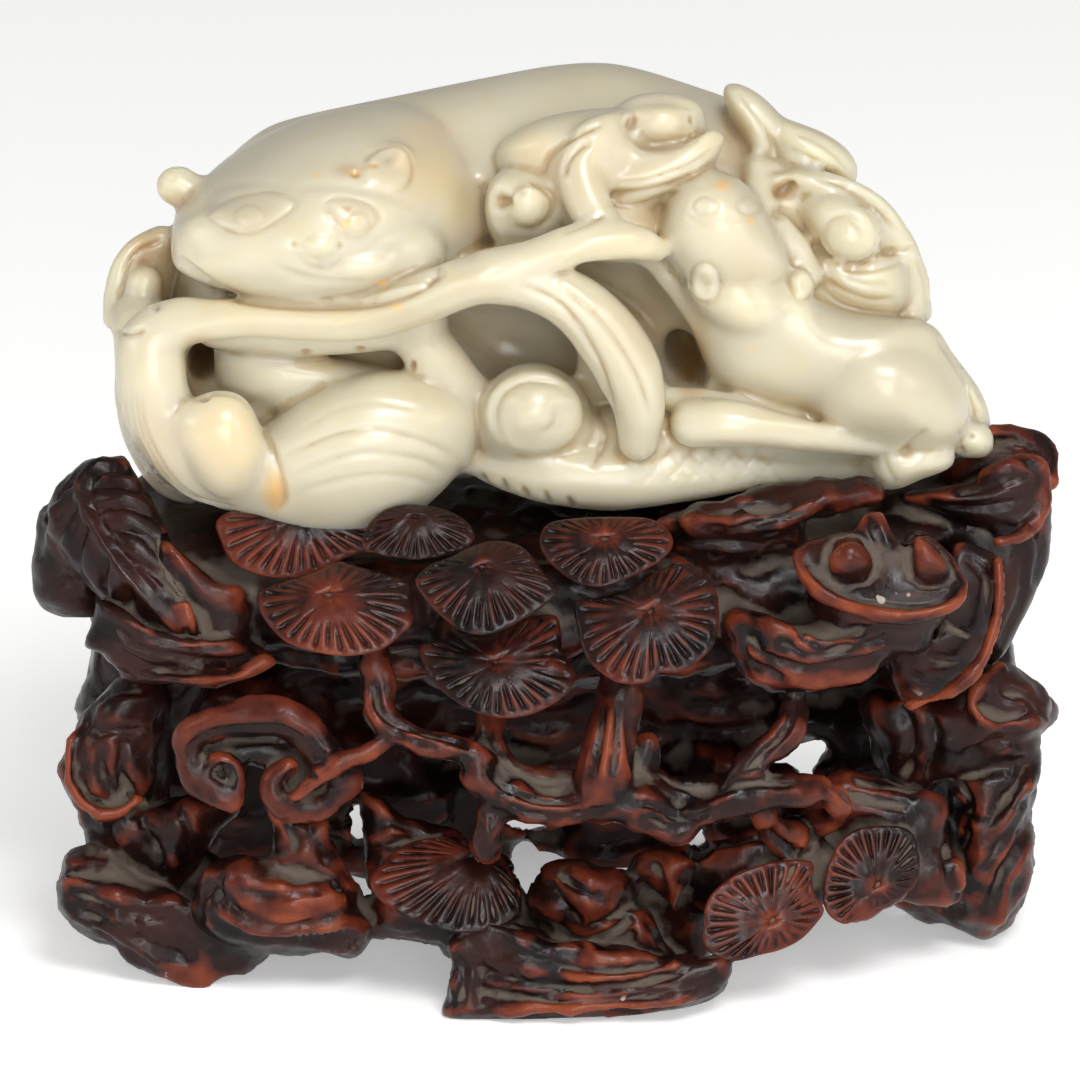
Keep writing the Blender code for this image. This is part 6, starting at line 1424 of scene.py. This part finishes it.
# Bark along the trunk and the branches, with a lighter ridge where it is rubbed.
for line in ([(6.4, 31.4), (6, 27.8), (5.2, 24.2)], [(7.8, 31.8), (7.6, 27.8), (7.2, 24)], [(8.8, 31.4),
    (9, 27.4), (10, 23.8)], [(-16.6, 34.6), (-16.2, 31.2), (-14, 29.2), (-10, 28), (-6.6, 26.8)],
    [(-16.8, 32.8), (-15.8, 30.2), (-13.6, 28.2), (-10, 27)], [(-5.4, 24.8), (-3, 22.6), (0.5, 21.5),
    (5, 21.6)], [(-4.6, 22.8), (-1, 20.6), (4, 20.4), (8, 21.2)], [(8, 21.8), (11.2, 21.2), (15, 20),
    (18, 21.2)], [(10, 20), (13.2, 18.8), (16, 19.6)], [(16, 21.8), (20, 23.4), (24, 23.4),
    (27.6, 23.8)], [(20.2, 24.2), (22.4, 26.6), (24.6, 29), (25.6, 31.4)], [(21.4, 24.8), (23.6, 27.2),
    (25.4, 29.6)], [(-5.6, 20.6), (-6, 18.2), (-5.6, 16.6)], [(-4.8, 21), (-5, 18.2)], [(-4.4, 27.2),
    (-2.8, 25), (0.4, 23.6), (4, 23.8)], [(11.2, 25.6), (13.2, 23.6), (16, 22.8), (18.4, 23.4)]):
    cuts.groove(line, 0.36, 0.5, taper=0.2)
for line in ([(7.2, 31.6), (6.8, 27.6), (6.2, 23.6)], [(-16, 30.2), (-13.8, 28.7), (-10, 27.5),
    (-6.4, 26.2)], [(-4, 22.2), (0, 21), (5, 21.2)], [(12, 20.6), (16, 20.8), (20, 22.6)]):
    cuts.groove(line, 0.4, -0.35)
# Scrolled fungus head: a channel along the scroll and its rolled ends.
cuts.groove([(-34.4, 24.2), (-34.8, 26.6), (-33.4, 28.2), (-30, 28.9), (-25.6, 28.8), (-23, 27),
    (-21, 24.2)], 0.5, 0.6)
cuts.groove([(-33.6, 24.8), (-33.6, 26.6), (-31.8, 27.6), (-27.8, 27.9), (-24.6, 27.4), (-22.8, 25.8)],
    0.4, 0.45)
cuts.groove([(-32.6, 24), (-31.8, 25.2), (-30.8, 24.6), (-30.8, 23)], 0.35, 0.5)
cuts.groove([(-25.6, 23.2), (-24.8, 24.4), (-23.4, 24.6), (-22.2, 23.6)], 0.35, 0.5)
cuts.groove([(-25.4, 20.6), (-25, 18.2), (-24.4, 16.2)], 0.4, 0.4)
cuts.groove([(-23.2, 20.6), (-22.6, 18), (-21, 15.4)], 0.4, 0.4)
# Rocks down the left side.
for line in ([(-44.8, 30.2), (-46.4, 27.2), (-46, 23.2), (-43.6, 21.4), (-40.6, 22.2)], [(-43.6, 27.6),
    (-44, 24.8), (-42.8, 22.2)], [(-41.6, 27.6), (-41.8, 24.6), (-41, 22.2)], [(-44.4, 31.8),
    (-42, 32.8), (-39, 32.8)], [(-45, 28.2), (-42, 28.8), (-39, 28.4)], [(-43, 19.8), (-42.8, 17.4),
    (-40.8, 15)], [(-40, 20.6), (-39, 17.8), (-37, 14.2)], [(-36, 21.2), (-35, 18.2), (-35.6, 15.4)],
    [(-47.4, 13), (-43, 11.2), (-39, 10.2), (-36.4, 11.2)], [(-47, 11.2), (-42.8, 9.2), (-38.8, 7.2),
    (-34, 5.2)], [(-45.4, 8.8), (-41, 6.4), (-36.8, 4.2)], [(-42, 10.6), (-40, 8.8), (-39.4, 7.4)],
    [(-33.4, 13.2), (-32.6, 10.4), (-29, 8.2), (-23, 7.4), (-18.4, 8.6)], [(-31.6, 12.6), (-30, 10.4),
    (-25, 9.2), (-19.6, 10.4)], [(-30.4, 12.8), (-26, 12.2), (-21, 12.8)], [(-21, 13.4), (-19, 12.6),
    (-18.2, 10.6)], [(-32.8, 14), (-34, 11.8), (-33.4, 9.6)], [(-31.8, 14.6), (-32.4, 13),
    (-31.8, 11.8)]):
    cuts.groove(line, 0.45, 0.6)
for line in ([(-32.4, 11.4), (-28.4, 9), (-22, 8.8), (-18.8, 10.2)], [(-45, 20.4), (-42.6, 20.4),
    (-40.4, 21.6)], [(-39, 5.2), (-35.6, 3.6), (-32.6, 3.4)]):
    cuts.groove(line, 0.5, -0.45)
for step in range(9):
    cuts.groove([(-24.5 + 0.75 * step, 8.6), (-24.2 + 0.75 * step, 6.9)], 0.18, 0.35, taper=0)
# Front foot: folds that sweep round it, and the shell-like rock.
for line in ([(-8.2, 5.6), (-4, 4.2), (2, 3.1), (8, 3.1), (15.2, 5)], [(-8.8, 3), (-3, 2.4), (4, 1.8),
    (12, 2.4), (18, 4)], [(-4, 7), (2, 5.2), (8, 4.8), (13.2, 5.8)], [(-7, 8), (-5.8, 5), (-6.4, 1.2)],
    [(-8.4, 6.8), (-7.6, 3.8), (-8.4, 0.8)], [(4.4, 8.8), (7, 10), (9.2, 12)], [(5, 7.9), (7.5, 8.7),
    (9.4, 10.3)], [(5.2, 7.1), (7.8, 7.5), (9.6, 8.7)], [(0.6, 13.8), (2.2, 11.6), (4.2, 9.2)],
    [(1.6, 14.8), (4, 12.8), (6.6, 11.8)], [(-0.4, 11.2), (1.6, 8.8), (5, 7)], [(10, 10.2), (12.2, 7.8),
    (15, 6)], [(11, 15.8), (12.4, 13.4), (13.2, 11.2)], [(-16, 19.8), (-12, 18.6), (-8, 17.2)],
    [(-16.8, 16.8), (-14, 17.6), (-11, 18)]):
    cuts.groove(line, 0.42, 0.6)
for line in ([(-7, 4), (-1, 3), (7, 2.6), (15, 4)], [(-9, 1), (-2, 0.6), (8, 0.8), (17, 2.6)],
    [(2, 4.2), (8, 4), (14, 5.2)]):
    cuts.groove(line, 0.5, -0.4)
# Pillar at the right: chipped facets.
for line in ([(43.5, 31.8), (46, 30.2), (49.4, 30.6)], [(41.8, 25.6), (45.6, 27.6), (49.2, 27.2)],
    [(41.4, 21.8), (44.4, 19.6), (47, 22.6), (49.2, 25.6)], [(44, 14.6), (45.6, 16.8), (47, 19.6),
    (48.8, 22.6)], [(44.4, 10.6), (46, 13.6), (47.6, 16.6), (48.6, 18.8)], [(40.6, 17.8), (41.2, 13.6),
    (42.6, 10.2)], [(36, 31.8), (37.2, 27.8), (36.4, 23.8)], [(39, 31.4), (39.6, 27), (38.6, 23.2)],
    [(42, 23.8), (43, 20.8), (42.2, 16.8)], [(46, 32.8), (49, 31.8), (50.6, 29.6)], [(29.6, 22.6),
    (33, 21.8), (37, 21)], [(31, 24.2), (34, 23.4), (38, 22.8)], [(16, 17.2), (20, 17.8), (24, 18.8)],
    [(23, 17.8), (25, 16.8), (27.2, 16)]):
    cuts.groove(line, 0.5, 0.7)
for line in ([(45, 8.4), (46.4, 12.2), (47.8, 15.6), (49, 17.6)], [(46, 18), (47.4, 21.2),
    (49.2, 24.2)], [(42.8, 20.6), (43.6, 19.4), (45, 20.2)]):
    cuts.groove(line, 0.5, -0.5)
cuts.done()
places = places_of(stand)
places[:, 2] = np.maximum(places[:, 2], 0)
put_places(stand, places)

STAND_TRIANGLES = 146000
DUST_REACH = 6.0
thinned(stand, STAND_TRIANGLES)
wood_count = len(stand.data.vertices)
discs = joined("cut_discs", [cut_discs])
selected_alone([stand, discs])
bpy.ops.object.join()
marked(stand, "hollow", sheltered(stand, DUST_REACH, [stone_tree]))
sharp = sharpness(stand, 1)
sharp[wood_count:] = 0.2 + 0.22 * sharp[wood_count:]
marked(stand, "edge", sharp)

# Where the lacquer is rubbed through, and where dust has gathered, each a soft spot as seen.
cuts = Carver(stand)
for name, spots in (("rubbed", (
        (-45.0, 23.3, 2.6, 3.4, 0.08),
        (-42.8, 21.2, 3, 1.2, 0.4),
        (-36.4, 42.8, 1.6, 5.0, 0.3),
        (36.0, 41.4, 7, 1.2, 0.45),
        (28.0, 44.4, 2.5, 1.6, 0.35),
        (27.5, 33.8, 8, 1.2, 0.4),
        (45.0, 41.8, 1.2, 6, 0.2),
        (39.0, 32.0, 4, 1.2, 0.25),
        (-27.0, 11.6, 6, 1.6, 0.25),
        (-24.0, 9.6, 7, 0.9, 0.4),
        (-43.0, 12.0, 5, 0.9, 0.35),
        (-35.2, 4.4, 3.5, 1.4, 0.45),
        (5.0, 1.2, 12, 1.1, 0.45),
        (6.0, 5.3, 4, 0.9, 0.3),
        (44.0, 21.8, 2.2, 6, 0.15),
        (7.2, 28.0, 1.8, 2.6, 0.25),
        (4.5, 36.8, 12, 10, 0.06),
        (-27.5, 24.8, 9, 5.5, -0.16),
        (-21.2, 42.4, 1.6, 1.4, 0.22),
        (-5.8, 45.2, 1.6, 1.4, 0.22),
        (-4.4, 35.6, 1.6, 1.4, 0.22),
        (6.5, 48.0, 1.6, 1.3, 0.22),
        (11.0, 40.7, 1.6, 1.4, 0.22),
        (23.3, 9.7, 1.0, 0.9, 0.4),
        (33.8, 13.3, 1.0, 0.9, 0.4),
        (-8.4, 16.8, 2.0, 1.2, 0.1),
        (50.0, 51.8, 1.0, 4, 0.2),
        (-24.0, 50.0, 4, 2, -0.3),
        (-42.0, 45.8, 7, 10, -0.45),
        (-48.0, 49.8, 3, 6, -0.2)
        )), ("dusty", (
        (-42.5, 47.5, 8, 9.5, -0.35),
        (-37, 36.5, 8, 2.5, -0.15),
        (-32.5, 41.3, 3.6, 4.6, 0.25),
        (21.5, 48.8, 8, 3.2, 0.2),
        (34.0, 45.6, 6, 2.4, 0.25),
        (27.0, 37.8, 8, 1.6, 0.22),
        (39.5, 36.3, 3.5, 3.5, 0.2),
        (-42.8, 14.6, 5, 2.2, 0.28),
        (-26.0, 14.8, 8, 1.6, 0.3),
        (-23.5, 18.0, 3, 2.4, 0.2),
        (-1.5, 25.0, 4.5, 2.8, 0.2),
        (14.0, 23.0, 4, 1.4, 0.25),
        (-10.5, 12.0, 4, 2, 0.25),
        (4.5, 14.8, 6, 1.6, 0.3),
        (12.0, 13.8, 4, 3, 0.25),
        (48.5, 32.8, 2.5, 3, 0.25),
        (32.5, 21.8, 6.5, 3, 0.28),
        (22.0, 27.3, 3.5, 4.5, 0.18),
        (46.0, 12.3, 2.4, 4.5, 0.15),
        (-7.8, 2.3, 1.2, 1.2, 0.25),
        (-40.2, 23.8, 1.2, 2.4, 0.25),
        (5.0, 5.3, 5, 1.2, 0.15),
        (-43.0, 44.8, 5, 5, 0.05),
        (12.0, 2.3, 4, 1, 0.15)
        ))):
    amount = np.zeros(len(cuts.across))
    for across, up, half_wide, half_high, strength in spots:
        amount += strength * cuts.spot(across, up, half_wide, half_high)
    if name == "dusty":
        amount[wood_count:] -= 0.22
    marked(stand, name, amount)
placed(stand)

lacquer = bpy.data.materials.new("old_lacquered_hardwood")
lacquer.use_nodes = True
nodes, links = lacquer.node_tree.nodes, lacquer.node_tree.links
wood = nodes["Principled BSDF"]
wood.inputs["IOR"].default_value = 1.42
wood.inputs["Specular IOR Level"].default_value = 0.26
place = nodes.new("ShaderNodeTexCoord")

edge = attribute_of("edge")
ground = blended(ranged(noise_of(180), 0.38, 0.68), (0.0042, 0.0019, 0.0016), (0.024, 0.0056, 0.0036))
rubbed = worked("ADD", edge, ranged(noise_of(60, 2), 0.35, 0.65, -0.34, 0.1))
rubbed = worked("ADD", rubbed, ranged(noise_of(500, 4), 0.3, 0.7, -0.12, 0.12))
rubbed = worked("ADD", rubbed, attribute_of("rubbed"))
ground = blended(ranged(rubbed, 0.12, 0.34), ground, (0.068, 0.012, 0.006))
ground = blended(ranged(rubbed, 0.36, 0.75), ground, (0.165, 0.033, 0.0115))
facing = nodes.new("ShaderNodeNewGeometry")
rise = nodes.new("ShaderNodeSeparateXYZ")
links.new(facing.outputs["Normal"], rise.inputs["Vector"])
settling = worked("ADD", attribute_of("hollow"), ranged(rise.outputs["Z"], -0.3, 1.0, -0.16, 0.20))
settling = worked("ADD", settling, ranged(noise_of(240, 5), 0.3, 0.7, -0.2, 0.2))
settling = worked("SUBTRACT", settling, ranged(edge, -0.2, 0.4, -0.1, 0.3))
settling = worked("ADD", settling, attribute_of("dusty"))
dust = ranged(settling, 0.30, 0.56, 0.0, 0.85)
ground = blended(dust, ground, (0.098, 0.076, 0.058))
chips = worked("ADD", ranged(noise_of(380, 2), 0.66, 0.70), attribute_of("rubbed"))
ground = blended(ranged(chips, 1.15, 1.3, 0.0, 0.8), ground, (0.34, 0.30, 0.25))
links.new(ground, wood.inputs["Base Color"])
shine = ranged(noise_of(500), 0.3, 0.7, 0.24, 0.42)
links.new(worked("ADD", shine, worked("MULTIPLY", dust, 0.45)), wood.inputs["Roughness"])
rough = nodes.new("ShaderNodeBump")
rough.inputs["Strength"].default_value = 0.35
rough.inputs["Distance"].default_value = 0.0002
links.new(noise_of(900, 6), rough.inputs["Height"])
links.new(rough.outputs["Normal"], wood.inputs["Normal"])
stand.data.materials.clear()
stand.data.materials.append(lacquer)
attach(stand, "root")
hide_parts("wood_stand")


# The photographer's table: a plain pale sheet, two soft lights at the front, one high and one level, a
# fainter one at each side, and the camera a metre off, looking down by sixteen degrees.
PICTURE_WIDTH = 108
FILM_WIDTH = 36
bpy.ops.mesh.primitive_plane_add(size=6, location=(0, 0, 0))
table = bpy.context.object
table.name = "pale_table"
paper = bpy.data.materials.new("pale_paper")
paper.use_nodes = True
for socket, value in (("Base Color", (0.93, 0.93, 0.925, 1)), ("Roughness", 0.9),
                      ("Emission Color", (1, 1, 1, 1)), ("Emission Strength", 0.34)):
    paper.node_tree.nodes["Principled BSDF"].inputs[socket].default_value = value
table.data.materials.append(paper)

bpy.context.scene.view_settings.view_transform = "Standard"
world = bpy.data.worlds.new("studio")
bpy.context.scene.world = world
world.use_nodes = True
background = world.node_tree.nodes["Background"]
background.inputs["Color"].default_value = (1.0, 0.99, 0.97, 1)
background.inputs["Strength"].default_value = 0.36


def soft_light(name, place, aim, size, power):
    """Square white light at a place in metres, turned to what it lights."""
    lamp = bpy.data.lights.new(name, "AREA")
    lamp.shape = "SQUARE"
    lamp.size = size
    lamp.energy = power
    holder = new_object(name, lamp)
    holder.location = place
    holder.rotation_euler = (Vector(aim) - Vector(place)).to_track_quat("-Z", "Y").to_euler()


soft_light("over_front", (0.16, -0.6, 0.6), (0, 0, 0.05), 0.26, 4.6)
soft_light("level_front", (0.1, -0.95, 0.2), (0, 0, 0.06), 0.4, 4.2)
soft_light("from_left", (-0.65, -0.25, 0.35), (0, 0, 0.05), 0.3, 1.1)
soft_light("from_right", (0.6, -0.5, 0.3), (0, 0, 0.05), 0.3, 1.3)

eye = bpy.data.cameras.new("camera")
eye.sensor_width = FILM_WIDTH
eye.lens = FILM_WIDTH * EYE_DISTANCE / PICTURE_WIDTH
camera = new_object("camera", eye)
aim = Vector((0, 0, SIGHT_HEIGHT * MM)) + MIDDLE
camera.location = aim + Vector((0, -LOOK_COS, LOOK_SIN)) * EYE_DISTANCE * MM
camera.rotation_euler = (aim - camera.location).to_track_quat("-Z", "Y").to_euler()
bpy.context.scene.camera = camera
